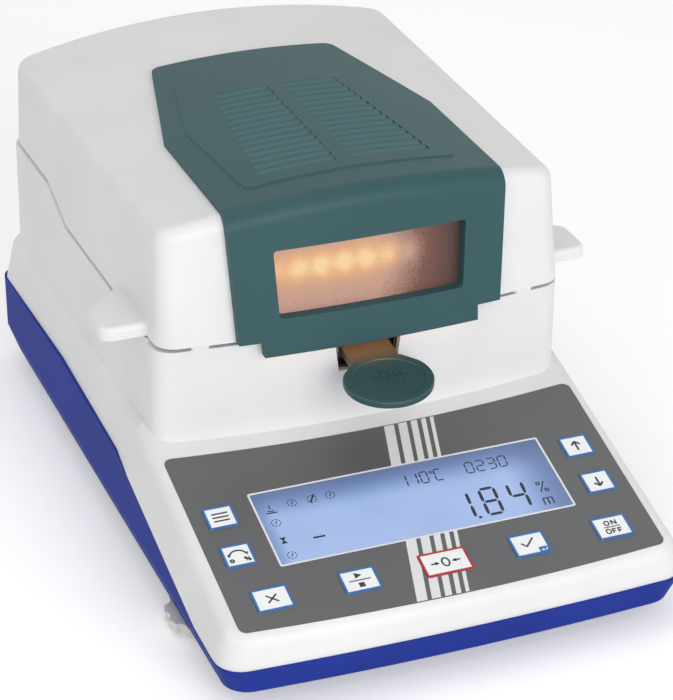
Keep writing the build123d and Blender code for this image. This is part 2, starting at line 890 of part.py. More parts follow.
# Lid, hood cover and window
def lid_form(inset, proud_front=0.0, low=95.0):
    """The lid's block with a crowned top, inset by a wall or standing proud in front."""
    sections = []
    for height in (tower_top, lid_lean_height):
        share = (height - tower_top) / (lid_lean_height - tower_top)
        half = lid_base_half_width + share * (lid_top_half_width - lid_base_half_width)
        front = lid_base_front + share * (lid_top_front - lid_base_front)
        sections.append((half - inset, front + inset - proud_front))
    (base_half, base_front), (top_half, top_front) = sections
    reach = (low - tower_top) / (lid_lean_height - tower_top)
    rise = (lid_crown_height + lid_headroom - tower_top) / (lid_lean_height - tower_top)
    with BuildPart() as form:
        loft([
            plan(low, base_half + reach * (top_half - base_half),
                 base_front + reach * (top_front - base_front), lid_front_bow,
                 lid_rear - inset, lid_rear_bow, lid_corner_radius - inset, rear_spread),
            plan(tower_top + rise * (lid_lean_height - tower_top),
                 base_half + rise * (top_half - base_half),
                 base_front + rise * (top_front - base_front), lid_front_bow,
                 lid_rear - inset, lid_rear_bow, lid_corner_radius - inset, rear_spread),
        ])
    return form.part


def crown(lift):
    """Everything below the crowned top, which is lifted by a height."""
    centre = lid_crown_height + lift
    edge = centre - lid_crown_drop
    with BuildPart() as form:
        with BuildSketch(Plane.XZ):
            with BuildLine():
                ThreePointArc((-lid_top_half_width, edge), (0, centre),
                              (lid_top_half_width, edge))
                Polyline((lid_top_half_width, edge), (far_side, edge - crown_side_fall),
                         (far_side, 0), (-far_side, 0),
                         (-far_side, edge - crown_side_fall), (-lid_top_half_width, edge))
            make_face()
        extrude(amount=past, both=True)
    return form.part


def rounded_block(inset, proud_top, proud_front, radius):
    """The lid's block under its crown, with its top edges rounded."""
    with BuildPart() as block:
        add(lid_form(inset, proud_front))
        add(crown(proud_top - inset), mode=Mode.INTERSECT)
        if radius:
            rim = block.edges().filter_by(
                lambda edge: edge.center().Z > lid_crown_height - lid_crown_drop - 12.0
            )
            fillet(rim, radius)
    return block.part


lid_block = rounded_block(0.0, 0.0, 0.0, lid_edge_radius)
lid_hollow = rounded_block(lid_wall, 0.0, 0.0, lid_edge_radius - lid_wall)
hood_block = rounded_block(0.0, hood_proud_top, hood_proud_front,
                           lid_edge_radius + hood_proud_top)


def hood_reach(inset, low):
    """The space that the hood covers: a tapered plan above, an apron and a lip in front."""
    rear, kink = hood_rear_half_width - inset, hood_kink_half_width - inset
    base = hood_base_half_width - inset
    apron_top = lid_lean_height
    with BuildPart() as reach:
        with BuildSketch(Plane.XY) as covered:
            with BuildLine():
                Polyline((-rear, hood_rear - inset), (rear, hood_rear - inset),
                         (kink, hood_kink_y), (kink, -in_front), (-kink, -in_front), (-kink, hood_kink_y),
                         close=True)
            make_face()
            fillet(covered.vertices().group_by(Axis.Y)[-1], hood_corner_radius)
        extrude(amount=past)
        with BuildSketch(Plane.XZ.offset(in_front)):
            with BuildLine():
                Polyline((-base, low), (base, low), (kink, apron_top), (kink, past),
                         (-kink, past), (-kink, apron_top), close=True)
            make_face()
        extrude(amount=-past, mode=Mode.INTERSECT)
        # Behind the apron only the top is covered
        with BuildSketch(Plane.XY):
            with Locations((0, apron_rear + past / 2)):
                Rectangle(past, past)
        extrude(amount=apron_top - 10.0, mode=Mode.SUBTRACT)
    return reach.part


with BuildPart() as lid:
    add(lid_block)
    # Side grips at the seam
    for side in (-1, 1):
        with BuildSketch(Plane.XY.offset(tower_top + lid_gap)) as wing_plan:
            with BuildLine():
                root = side * (lid_base_half_width - 4.0)
                tip = side * wing_half_span
                Polyline((root, wing_front), (tip, wing_front), (tip, wing_tip_rear),
                         (side * (lid_base_half_width + 2.0), wing_rear), (root, wing_rear),
                         close=True)
            make_face()
            fillet(wing_plan.vertices().filter_by(lambda v: abs(v.X) > lid_base_half_width + 5),
                   wing_corner_radius)
        extrude(amount=wing_thickness)
    wing_rims = lid.edges().filter_by(
        lambda edge: abs(edge.center().X) > lid_base_half_width + 3.0
        and abs(edge.center().Z - tower_top - lid_gap - wing_thickness) < 0.1
    )
    fillet(wing_rims, wing_edge_radius)
    add(lid_hollow, mode=Mode.SUBTRACT)
    # The lower edge follows the seam
    extrude(side_region(step_region(lid_gap, past)), amount=wide, both=True,
            mode=Mode.INTERSECT)
    # The hood's opening
    add(hood_reach(hood_seat, tower_top + lid_gap + hood_seat), mode=Mode.SUBTRACT)
save(lid.part, "lid_shell")


def window_cutter():
    """The window opening, which flares by its bevel towards the front."""
    sections = []
    for depth, grow in ((-80.0, window_bevel + 2.0), (-40.0, 0.0)):
        with BuildSketch(Plane.XZ.offset(-depth)) as outline:
            top, base = window_top_half_width + grow, window_base_half_width + grow
            with BuildLine():
                Polyline((-base, window_bottom - grow), (base, window_bottom - grow),
                         (top, window_top + grow), (-top, window_top + grow), close=True)
            make_face()
            fillet(outline.vertices(), 1.5)
        sections.append(outline.sketch)
    with BuildPart() as cutter:
        loft(sections, ruled=True)
    return cutter.part


crown_radius = (lid_top_half_width**2 + lid_crown_drop**2) / (2 * lid_crown_drop)
crown_axis = Axis((0, 0, lid_crown_height - crown_radius), (0, 1, 0))


def louvre(y, side, length):
    """One louvre's wedge under the crowned top: deep in front, level with the top behind."""
    start = side * vent_bar / 2 if side > 0 else side * (vent_bar / 2 + length)
    tilt = start / crown_radius
    side_plane = Plane(
        origin=crown_axis.position, x_dir=(0, 1, 0), z_dir=(cos(tilt), 0, -sin(tilt))
    )
    top = crown_radius + hood_proud_top + hood_plateau_rise
    floor = crown_radius - hood_proud_top
    with BuildPart() as wedge:
        with BuildSketch(side_plane):
            with BuildLine():
                Polyline((y - vent_run, top - vent_depth), (y, top), (y, top + 1.0),
                         (y - vent_run, top + 1.0), close=True)
            make_face()
            with BuildLine():
                Polyline((y - vent_run, floor), (y - vent_run + vent_slot, floor),
                         (y - vent_run + vent_slot, top), (y - vent_run, top), close=True)
            make_face()
        revolve(axis=crown_axis, revolution_arc=degrees(length / crown_radius))
    return wedge.part


def plateau():
    """The raised panel around the vents, as the crowned top lifted inside its outline."""
    with BuildPart() as panel:
        with BuildSketch(Plane.XY.offset(lid_lean_height)) as outline:
            rear, kink = hood_plateau_rear_half_width, hood_plateau_kink_half_width
            front = hood_plateau_front_half_width
            with BuildLine():
                Polyline((-rear, hood_plateau_rear), (rear, hood_plateau_rear),
                         (kink, hood_plateau_kink_y), (front, hood_plateau_front),
                         (-front, hood_plateau_front), (-kink, hood_plateau_kink_y), close=True)
            make_face()
            fillet(outline.vertices(), hood_plateau_radius)
        extrude(amount=lid_lean_drop + lid_headroom)
        add(crown(hood_proud_top + hood_plateau_rise), mode=Mode.INTERSECT)
        chamfer(panel.faces().sort_by(Axis.Z)[-1].edges(), hood_plateau_rise)
    return panel.part


with BuildPart() as hood:
    add(hood_block)
    add(hood_reach(0.0, tower_top + lid_gap), mode=Mode.INTERSECT)
    with BuildSketch(Plane.XZ.offset(in_front)):
        with Locations((0, (hood_lip_bottom + tower_top + 10.0) / 2)):
            Rectangle(2 * hood_lip_half_width, tower_top + 10.0 - hood_lip_bottom)
    extrude(amount=-in_front - apron_rear - 4.0)
    add(lid_form(0.0, hood_proud_front), mode=Mode.INTERSECT)
    add(plateau())
    add(lid_block, mode=Mode.SUBTRACT)
    add(window_cutter(), mode=Mode.SUBTRACT)
    for row in range(vent_count):
        share = row / (vent_count - 1)
        length = vent_rear_length + share * (vent_front_length - vent_rear_length)
        for side in (-1, 1):
            add(louvre(vent_first_y - row * vent_pitch, side, length), mode=Mode.SUBTRACT)
save(hood.part, "hood_cover")

with BuildPart() as window_glass:
    add(lid_block)
    add(lid_hollow, mode=Mode.SUBTRACT)
    with BuildSketch(Plane.XZ.offset(in_front)):
        with Locations((0, (window_top + window_bottom) / 2)):
            Rectangle(2 * window_top_half_width + 6.0, window_top - window_bottom + 6.0)
    extrude(amount=-80.0, mode=Mode.INTERSECT)
save(window_glass.part, "window_glass")


# Heater module in the lid: frame, protective glass, reflector, brackets and two lamps
frame_top = frame_underside + frame_thickness
glass_middle = (glass_front + glass_rear) / 2
glass_length = glass_rear - glass_front
with BuildPart() as frame:
    add(lid_form(lid_wall + frame_clearance))
    with BuildSketch(Plane.XY.offset(frame_underside)):
        with Locations((0, (step_low_y - 100.0) / 2)):
            Rectangle(wide, step_low_y + 100.0)
    extrude(amount=frame_thickness, mode=Mode.INTERSECT)
    with BuildSketch(Plane.XY.offset(frame_underside)):
        with Locations((0, glass_middle)):
            RectangleRounded(2 * (glass_half_width - glass_ledge),
                             glass_length - 2 * glass_ledge, 6.0)
        with Locations((sensor_x, sensor_y)):
            Circle(sensor_radius)
    extrude(amount=frame_thickness, mode=Mode.SUBTRACT)
save(frame.part, "heater_frame")

with BuildPart() as protective_glass:
    with BuildSketch(Plane.XY.offset(frame_top)):
        with Locations((0, glass_middle)):
            RectangleRounded(2 * glass_half_width, glass_length, 8.0)
    extrude(amount=glass_thickness)
save(protective_glass.part, "protective_glass")

bracket_x = lamp_half_length + lamp_cap_length + socket_size
with BuildPart() as brackets:
    for side in (-1, 1):
        with BuildSketch(Plane.YZ.offset(side * bracket_x)):
            with Locations((pan_y, (frame_top + reflector_top) / 2)):
                Rectangle(lamp_spacing + 2 * socket_size, reflector_top - frame_top)
        extrude(amount=side * bracket_sheet)
        with BuildSketch(Plane.XY.offset(frame_top)):
            with Locations((side * (bracket_x + bracket_sheet + 3.0), pan_y)):
                Rectangle(6.0, lamp_spacing)
        extrude(amount=bracket_sheet)
save(brackets.part, "lamp_brackets")

lamp_rows = [pan_y - lamp_spacing / 2, pan_y + lamp_spacing / 2]
with BuildPart() as sockets:
    for side in (-1, 1):
        with BuildSketch(Plane.YZ.offset(side * (bracket_x - socket_size))):
            with Locations(*[(y, lamp_height) for y in lamp_rows]):
                RectangleRounded(socket_size, socket_size, 1.5)
        extrude(amount=side * socket_size)
save(sockets.part, "lamp_sockets")

with BuildPart() as tubes:
    with BuildSketch(Plane.YZ.offset(-lamp_half_length)):
        with Locations(*[(y, lamp_height) for y in lamp_rows]):
            Circle(lamp_radius)
            Circle(lamp_radius - lamp_tube_wall, mode=Mode.SUBTRACT)
    extrude(amount=2 * lamp_half_length)
save(tubes.part, "lamp_tubes")

with BuildPart() as caps:
    for side in (-1, 1):
        with BuildSketch(Plane.YZ.offset(side * lamp_half_length)):
            with Locations(*[(y, lamp_height) for y in lamp_rows]):
                Circle(lamp_cap_radius)
        extrude(amount=side * lamp_cap_length)
save(caps.part, "lamp_caps")

with BuildPart() as filaments:
    with BuildSketch(Plane.YZ.offset(-lamp_half_length)):
        with Locations(*[(y, lamp_height) for y in lamp_rows]):
            Circle(filament_radius)
    extrude(amount=2 * lamp_half_length)
save(filaments.part, "lamp_filaments")

with BuildPart() as reflector:
    with BuildSketch(Plane.YZ.offset(-bracket_x)):
        with BuildLine():
            rear, front = reflector_rear, reflector_front
            base, top, bend = frame_top + glass_thickness, reflector_top, reflector_vault
            inner = reflector_sheet
            Line((rear, base), (rear, top - bend))
            Line((rear, top - bend), (rear - bend, top))
            Line((rear - bend, top), (front, top))
            Line((front, top), (front, top - inner))
            Line((front, top - inner), (rear - bend - inner / 2, top - inner))
            Line((rear - bend - inner / 2, top - inner), (rear - inner, top - bend - inner / 2))
            Line((rear - inner, top - bend - inner / 2), (rear - inner, base))
            Line((rear - inner, base), (rear, base))
        make_face()
    extrude(amount=2 * bracket_x)
save(reflector.part, "reflector")

with BuildPart() as sensor:
    with BuildSketch(Plane.XY.offset(sensor_tip)):
        with Locations((sensor_x, sensor_y)):
            Circle(sensor_radius)
    extrude(amount=frame_top - sensor_tip)
    with BuildSketch(Plane.XY.offset(frame_top)):
        with Locations((sensor_x, sensor_y)):
            RectangleRounded(10.0, 7.0, 1.0)
    extrude(amount=5.0)
save(sensor.part, "temperature_sensor")

rest_y = tower_base_front - 3.5
with BuildPart() as rests:
    with BuildSketch(Plane.XY.offset(front_rim)):
        with Locations((-rest_x, rest_y), (rest_x, rest_y)):
            RectangleRounded(*rest_size, 1.5)
    extrude(amount=front_gap + lid_gap)
save(rests.part, "lid_rests")

# Lid hinges: ears on the tower, straps on the lid, one pin each
hinge_places = [-hinge_spacing / 2, hinge_spacing / 2]
ear_offset = knuckle_width / 2 + knuckle_gap + ear_width / 2
ear_foot = hinge_height - socket_height - inlet_body_height / 2 - inlet_flange - ear_gap
with BuildPart() as ears:
    for x in hinge_places:
        for side in (-1, 1):
            with BuildSketch(Plane.YZ.offset(x + side * ear_offset - ear_width / 2)):
                with Locations((hinge_y, hinge_height)):
                    Circle(knuckle_radius)
                with Locations((hinge_y - knuckle_radius, hinge_height - ear_foot / 2)):
                    Rectangle(4 * knuckle_radius, ear_foot)
            extrude(amount=ear_width)
        with BuildSketch(Plane.XY.offset(hinge_height - ear_foot)):
            with Locations((x, hinge_y - knuckle_radius)):
                Rectangle(2 * ear_offset + ear_width, 2 * knuckle_radius)
        extrude(amount=ear_foot - knuckle_radius - 2.0)
    with BuildSketch(Plane.YZ.offset(-100)):
        with Locations((hinge_y, hinge_height)):
            Circle(pin_radius)
    extrude(amount=200, mode=Mode.SUBTRACT)
    add(tower_form(0.0), mode=Mode.SUBTRACT)
    with BuildSketch(Plane.XY.offset(tower_rear_top)):
        with Locations((0, hinge_y - knuckle_radius - 50.0)):
            Rectangle(wide, 100.0)
    extrude(amount=50.0, mode=Mode.SUBTRACT)
save(ears.part, "hinge_ears")

with BuildPart() as pins:
    for x in hinge_places:
        with BuildSketch(Plane.YZ.offset(x - ear_offset - ear_width / 2)):
            with Locations((hinge_y, hinge_height)):
                Circle(pin_radius)
        extrude(amount=2 * ear_offset + ear_width)
save(pins.part, "hinge_pins")

with BuildPart() as straps:
    for x in hinge_places:
        with BuildSketch(Plane.YZ.offset(x - knuckle_width / 2)):
            with Locations((hinge_y, hinge_height)):
                Circle(knuckle_radius)
            with Locations((hinge_y - 6.0, hinge_height + lid_gap + strap_height / 2)):
                Rectangle(12.0, strap_height)
        extrude(amount=knuckle_width)
    with BuildSketch(Plane.YZ.offset(-100)):
        with Locations((hinge_y, hinge_height)):
            Circle(pin_radius + pin_clearance)
    extrude(amount=200, mode=Mode.SUBTRACT)
    add(lid_block, mode=Mode.SUBTRACT)
    with BuildSketch(Plane.XY.offset(hinge_height + knuckle_radius)):
        with Locations((0, hinge_y + 48.0)):
            Rectangle(wide, 100.0)
    extrude(amount=50.0, mode=Mode.SUBTRACT)
save(straps.part, "lid_straps")

# Lid switch: a plunger in the rim and the switch below it
plunger_top = frame_underside - plunger_gap
with BuildPart() as plunger:
    with BuildSketch(Plane.XY.offset(plunger_top - plunger_length)):
        with Locations((plunger_x, plunger_y)):
            Circle(plunger_radius)
    extrude(amount=plunger_length)
    fillet(plunger.faces().sort_by(Axis.Z)[-1].edges(), 1.0)
save(plunger.part, "lid_plunger")

with BuildPart() as lid_switch:
    with BuildSketch(Plane.XY.offset(plunger_top - plunger_length - 9.0)):
        with Locations((tower_base_half_width - housing_wall - 6.0, plunger_y)):
            Rectangle(12.0, 20.0)
    extrude(amount=9.0)
    add(tower_form(housing_wall + 0.3), mode=Mode.INTERSECT)
save(lid_switch.part, "lid_switch")

with BuildPart() as level:
    with BuildSketch(Plane.XY.offset(tower_rear_top - level_depth)):
        with Locations((level_x, level_y)):
            Circle(level_radius)
    extrude(amount=level_depth - 0.2)
save(level.part, "spirit_level")

# Levelling feet: pads that stay still, fluted wheels that turn on them
for side, (x, y) in zip(("left", "right"), foot_places):
    with BuildPart() as pad:
        with BuildSketch(Plane.XY):
            with Locations((x, y)):
                Circle(foot_pad_radius)
        extrude(amount=foot_pad_height)
        with BuildSketch(Plane.XY.offset(foot_pad_height)):
            with Locations((x, y)):
                Circle(foot_swivel_radius)
        extrude(amount=foot_wheel_height)
    save(pad.part, f"levelling_pad_{side}")
    with BuildPart() as wheel:
        with BuildSketch(Plane.XY.offset(foot_pad_height)):
            with Locations((x, y)):
                Circle(foot_wheel_radius)
                with PolarLocations(foot_wheel_radius + foot_flute_radius * 0.55, foot_flutes):
                    Circle(foot_flute_radius, mode=Mode.SUBTRACT)
        extrude(amount=foot_wheel_height)
        with BuildSketch(Plane.XY.offset(foot_pad_height + foot_wheel_height)):
            with Locations((x, y)):
                Circle(foot_stem_radius)
        extrude(amount=tray_underside + foot_boss_height - 4.0
                - foot_pad_height - foot_wheel_height)
        with BuildSketch(Plane.XY):
            with Locations((x, y)):
                Circle(foot_swivel_radius + foot_swivel_clearance)
        extrude(amount=foot_pad_height + foot_wheel_height + 0.3, mode=Mode.SUBTRACT)
    save(wheel.part, f"levelling_screw_{side}")

# Electronics
with BuildPart() as main_board:
    with BuildSketch(Plane.XY.offset(main_board_height)):
        with Locations((0, main_board_y)):
            Rectangle(*main_board_size)
    extrude(amount=board_thickness)
save(main_board.part, "main_board")

board_top = main_board_height + board_thickness
with BuildPart() as chips:
    with BuildSketch(Plane.XY.offset(board_top)):
        with Locations((chip_size, main_board_y)):
            Rectangle(chip_size, chip_size)
        with Locations((-2 * driver_size[0], main_board_y - 2 * driver_size[1]),
                       (4 * driver_size[0], main_board_y + 2 * driver_size[1])):
            Rectangle(*driver_size)
    extrude(amount=chip_height)
    with BuildSketch(Plane.XY.offset(board_top)):
        with Locations((-10 * capacitor_radius, main_board_y + 4 * capacitor_radius),
                       (-7 * capacitor_radius, main_board_y + 4 * capacitor_radius)):
            Circle(capacitor_radius)
    extrude(amount=capacitor_height)
save(chips.part, "board_components")

supply_width, supply_length, supply_height = supply_size
tray_floor = tray_underside + tray_wall
with BuildPart() as supply:
    with BuildSketch(Plane.XY.offset(tray_floor)):
        with Locations((supply_x, cell_y - cell_length / 2 + supply_length / 2)):
            Rectangle(supply_width, supply_length)
    extrude(amount=supply_height)
save(supply.part, "power_supply")

# Rear sockets, their flanges seated on the tower's rear wall
rear_face = tower_rear + tower_rear_bow


def socket(x, width, height, depth, flange, cavity, cavity_depth):
    """A rear socket: a flange outside, a body through the wall and a cavity behind."""
    with BuildPart() as form:
        with BuildSketch(Plane.XZ.offset(-(rear_face + inlet_flange_thickness))):
            with Locations((x, socket_height)):
                RectangleRounded(width + 2 * flange, height + 2 * flange, 2.0)
        extrude(amount=rear_face + inlet_flange_thickness - tower_rear)
        add(tower_form(0.0), mode=Mode.SUBTRACT)
        with BuildSketch(Plane.XZ.offset(-(rear_face + inlet_flange_thickness))):
            with Locations((x, socket_height)):
                Rectangle(width, height)
        extrude(amount=depth)
        with BuildSketch(Plane.XZ.offset(-(rear_face + inlet_flange_thickness))):
            with Locations((x, socket_height)):
                Rectangle(*cavity)
        extrude(amount=cavity_depth, mode=Mode.SUBTRACT)
    return form.part


inlet_cavity = (inlet_width - 3.0, inlet_body_height - 3.5)
save(socket(inlet_x, inlet_width, inlet_body_height, inlet_depth, inlet_flange, inlet_cavity,
            inlet_cavity_depth), "power_inlet")
save(socket(serial_x, serial_width, serial_height, serial_depth, serial_flange,
            (serial_width - 1.6, serial_height - 1.6), 6.0), "serial_socket")
save(socket(usb_x, usb_size, usb_size, usb_depth, 2.0, (usb_size - 2.5, usb_size - 2.5), 9.0),
     "usb_socket")

blade_top = rear_face + inlet_flange_thickness - 1.5
with BuildPart() as blades:
    with BuildSketch(Plane.XZ.offset(-blade_top)):
        with Locations((inlet_x - 7.0, socket_height - 2.0), (inlet_x, socket_height + 2.0),
                       (inlet_x + 7.0, socket_height - 2.0)):
            Rectangle(2.0, 4.0)
    extrude(amount=inlet_cavity_depth - 1.5)
save(blades.part, "inlet_blades")

# Fasteners
with BuildPart() as case_screws:
    with BuildSketch(Plane.XY.offset(tray_underside)):
        with Locations(*boss_places):
            Circle(screw_head_radius)
    extrude(amount=screw_head_height)
    with BuildSketch(Plane.XY.offset(tray_underside)):
        with Locations(*boss_places):
            Circle(screw_radius)
    extrude(amount=boss_height + screw_length - 1.0)
save(case_screws.part, "case_screws")

with BuildPart() as board_screws:
    with BuildSketch(Plane.XY.offset(board_top)):
        with Locations(*main_board_corners):
            Circle(screw_head_radius)
    extrude(amount=screw_head_height)
save(board_screws.part, "board_screws")
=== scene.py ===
"""Looks of a bench moisture analyzer: the CAD frame dressed, printed and lit in a studio."""

import logging
import math
from dataclasses import dataclass, field
from enum import Enum

import bmesh
import bpy
import numpy as np
from mathutils import Matrix, Vector


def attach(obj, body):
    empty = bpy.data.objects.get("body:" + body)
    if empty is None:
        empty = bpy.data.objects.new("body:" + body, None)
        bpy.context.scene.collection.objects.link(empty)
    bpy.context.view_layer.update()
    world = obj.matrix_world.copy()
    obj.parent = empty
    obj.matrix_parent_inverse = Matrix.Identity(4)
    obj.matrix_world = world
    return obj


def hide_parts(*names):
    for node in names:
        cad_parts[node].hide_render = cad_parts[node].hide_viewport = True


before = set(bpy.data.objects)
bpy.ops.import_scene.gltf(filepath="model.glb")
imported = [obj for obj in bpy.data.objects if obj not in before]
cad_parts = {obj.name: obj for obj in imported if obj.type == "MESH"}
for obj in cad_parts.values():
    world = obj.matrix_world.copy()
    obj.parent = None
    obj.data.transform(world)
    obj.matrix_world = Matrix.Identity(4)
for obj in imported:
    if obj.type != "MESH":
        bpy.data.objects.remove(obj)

LOG = logging.getLogger("moisture_analyzer")
MM = 0.001
WHITE = "#FFFFFF"


# Colour, nodes and objects


def linear(code: str) -> tuple[float, float, float, float]:
    """Turns an sRGB hex colour into linear values.

    Args:
        code: the colour as "#RRGGBB".

    Returns:
        Red, green, blue in linear light, and an alpha of 1.
    """
    parts = [int(code[i:i + 2], 16) / 255 for i in (1, 3, 5)]
    values = [p / 12.92 if p <= 0.04045 else ((p + 0.055) / 1.055) ** 2.4 for p in parts]
    return (values[0], values[1], values[2], 1.0)


def add_node(tree: bpy.types.NodeTree, kind: str, inputs: dict | tuple = (),
             stops: tuple[tuple[float, str], ...] = (), **settings: object) -> bpy.types.Node:
    """Adds one node with its settings and its incoming links.

    Args:
        tree: the node tree that takes the node.
        kind: the node's Blender type without "ShaderNode", such as "TexNoise".
        inputs: what each input gets, by its name or number, or in order from the first. A socket is
            linked, a node is linked by its first output, and the rest are plain values.
        stops: for a colour ramp, its places (0 to 1) and hex colours, in rising order.
        settings: the node's own settings by name.

    Returns:
        The new node.
    """
    node = tree.nodes.new("ShaderNode" + kind)
    for name, value in settings.items():
        setattr(node, name, value)
    for key, value in inputs.items() if isinstance(inputs, dict) else enumerate(inputs):
        if isinstance(value, (bpy.types.Node, bpy.types.NodeSocket)):
            source = value.outputs[0] if isinstance(value, bpy.types.Node) else value
            tree.links.new(source, node.inputs[key])
        else:
            node.inputs[key].default_value = value
    while stops and len(node.color_ramp.elements) < len(stops):
        node.color_ramp.elements.new(0.5)
    for number, (place, code) in enumerate(stops):
        node.color_ramp.elements[number].position = place
        node.color_ramp.elements[number].color = linear(code)
    return node


def empty_tree(owner: bpy.types.Material | bpy.types.World) -> bpy.types.NodeTree:
    """Switches a material or world to nodes.

    Args:
        owner: the material or world.

    Returns:
        Its node tree, cleared.
    """
    owner.use_nodes = True
    owner.node_tree.nodes.clear()
    return owner.node_tree


def put(name: str, data: bpy.types.ID) -> bpy.types.Object:
    """Makes an object and puts it in the scene.

    Args:
        name: its name.
        data: its mesh, lamp or camera.

    Returns:
        The object.
    """
    made = bpy.data.objects.new(name, data)
    bpy.context.scene.collection.objects.link(made)
    return made


# Finishes


@dataclass(frozen=True)
class Swatch:
    """A material in the making, and the ways a pattern works on it.

    Attributes:
        tree: the material's node tree.
        shader: its Principled shader.
        place: the object coordinates.
    """

    tree: bpy.types.NodeTree
    shader: bpy.types.Node
    place: bpy.types.NodeSocket

    def feed(self, name: str, source: bpy.types.NodeSocket) -> None:
        """Links a socket to the shader's named input."""
        self.tree.links.new(source, self.shader.inputs[name])

    def sized(self, size: float, detail: float) -> dict:
        """Returns the inputs of a texture whose pattern has a real size in mm."""
        return {"Vector": self.place, "Scale": 1 / (size * MM), "Detail": detail}

    def work_out(self, known: dict, *steps: tuple) -> bpy.types.Node:
        """Works out a formula with a Math node for each of its steps.

        Args:
            known: sockets and nodes by name; each step adds its result.
            steps: the result's name, the operation, and its values as numbers or known names.

        Returns:
            The last step's node.
        """
        for name, operation, *values in steps:
            values = tuple(known[v] if isinstance(v, str) else v for v in values)
            known[name] = add_node(self.tree, "Math", values, operation=operation)
        return known[name]

    def vary(self, code: str, other: str, size: float) -> None:
        """Drives the base colour between two near colours with noise.

        Args:
            code: the main colour.
            other: the colour it drifts to.
            size: the patches' real size in mm.
        """
        noise = add_node(self.tree, "TexNoise", self.sized(size, 3.0))
        colour = add_node(self.tree, "ValToRGB", (noise,), ((0.3, code), (0.7, other)))
        self.feed("Base Color", colour.outputs[0])

    def relieve(self, height: bpy.types.Node | bpy.types.NodeSocket, depth: float,
                strength: float) -> None:
        """Turns a height pattern into bump.

        Args:
            height: the pattern, 0 to 1.
            depth: the relief's real depth in mm.
            strength: how much of it shows.
        """
        bump = add_node(self.tree, "Bump",
                        {"Height": height, "Strength": strength, "Distance": depth * MM})
        self.feed("Normal", bump.outputs[0])

    def dull(self, pattern: bpy.types.Node | bpy.types.NodeSocket, least: float,
             most: float) -> None:
        """Drives the roughness with a pattern.

        Args:
            pattern: the pattern, 0 to 1.
            least: the roughness where the pattern is 0.
            most: the roughness where it is 1.
        """
        gloss = add_node(self.tree, "MapRange", {0: pattern, 3: least, 4: most})
        self.feed("Roughness", gloss.outputs[0])

    def tint(self, amount: bpy.types.Node, code: str) -> None:
        """Mixes the base colour's pattern towards a colour.

        Args:
            amount: how far, 0 to 1.
            code: the colour.
        """
        plain = self.shader.inputs["Base Color"].links[0].from_socket
        mixed = add_node(self.tree, "Mix", {0: amount, 6: plain, 7: linear(code)}, data_type="RGBA")
        self.feed("Base Color", mixed.outputs[2])

    def light(self, level: bpy.types.Node | bpy.types.NodeSocket,
              stops: tuple[tuple[float, str], ...], power: float) -> None:
        """Lets the surface glow in the colours of a ramp.

        Args:
            level: the pattern that drives the ramp, 0 to 1.
            stops: the ramp's places and colours.
            power: the light's strength.
        """
        self.feed("Emission Color", add_node(self.tree, "ValToRGB", (level,), stops).outputs[0])
        self.shader.inputs["Emission Strength"].default_value = power


@dataclass(frozen=True)
class Finish:
    """A material's common settings; each finish below is one real surface.

    Attributes:
        name: the real material's name.
        colour: its main colour, sRGB hex.
        roughness: the shader's roughness.
        ior: index of refraction, typical for the material.
        metallic: 1 for bare metal, 0 for the rest.
        sheen: how strong the surface reflection is, 0.5 for a clean one.
    """

    name: str
    colour: str
    roughness: float = 0.45
    ior: float = 1.5
    metallic: float = 0.0
    sheen: float = 0.5

    def pattern(self, on: Swatch) -> None:
        """Adds the surface's own pattern to the material in the making; a subclass says how."""
        raise NotImplementedError

    def material(self) -> bpy.types.Material:
        """Returns the material, made on its first use and kept after that."""
        found = bpy.data.materials.get(self.name)
        if found:
            return found
        made = bpy.data.materials.new(self.name)
        tree = empty_tree(made)
        inputs = {"Base Color": linear(self.colour), "Roughness": self.roughness,
                  "Metallic": self.metallic}
        if not self.metallic:
            inputs |= {"IOR": self.ior, "Specular IOR Level": self.sheen}
        shader = add_node(tree, "BsdfPrincipled", inputs)
        add_node(tree, "OutputMaterial", {"Surface": shader})
        self.pattern(Swatch(tree, shader, add_node(tree, "TexCoord").outputs["Object"]))
        return made


@dataclass(frozen=True)
class Moulded(Finish):
    """Injection-moulded or cast stuff with a fine grain and a faint drift of colour.

    Attributes:
        drift: the colour it drifts to.
        patch: size of the drift's patches in mm.
        grain: the mould texture's grain in mm; the real 0.1 to 0.3 mm is drawn coarser to show.
        depth: the grain's depth in mm.
        strength: the grain's strength.
        swing: how far the roughness follows the grain, each way.
    """

    drift: str = WHITE
    patch: float = 45.0
    grain: float = 1.1
    depth: float = 0.03
    strength: float = 0.35
    swing: float = 0.06

    def pattern(self, on: Swatch) -> None:
        """Adds the drift of colour, and the mould's grain as bump and gloss.

        Args:
            on: the material in the making.
        """
        on.vary(self.colour, self.drift, self.patch)
        grain = add_node(on.tree, "TexNoise", on.sized(self.grain, 4.0))
        on.relieve(grain, self.depth, self.strength)
        on.dull(grain, self.roughness - self.swing, self.roughness + self.swing)


class Lay(Enum):
    """Which way a metal's working marks run."""

    ALONG_X = (0.02, 1.0, 1.0)
    ALONG_Y = (1.0, 0.02, 1.0)
    UPRIGHT = (1.0, 1.0, 0.02)
    TURNED = (1.0, 1.0, 1.0)


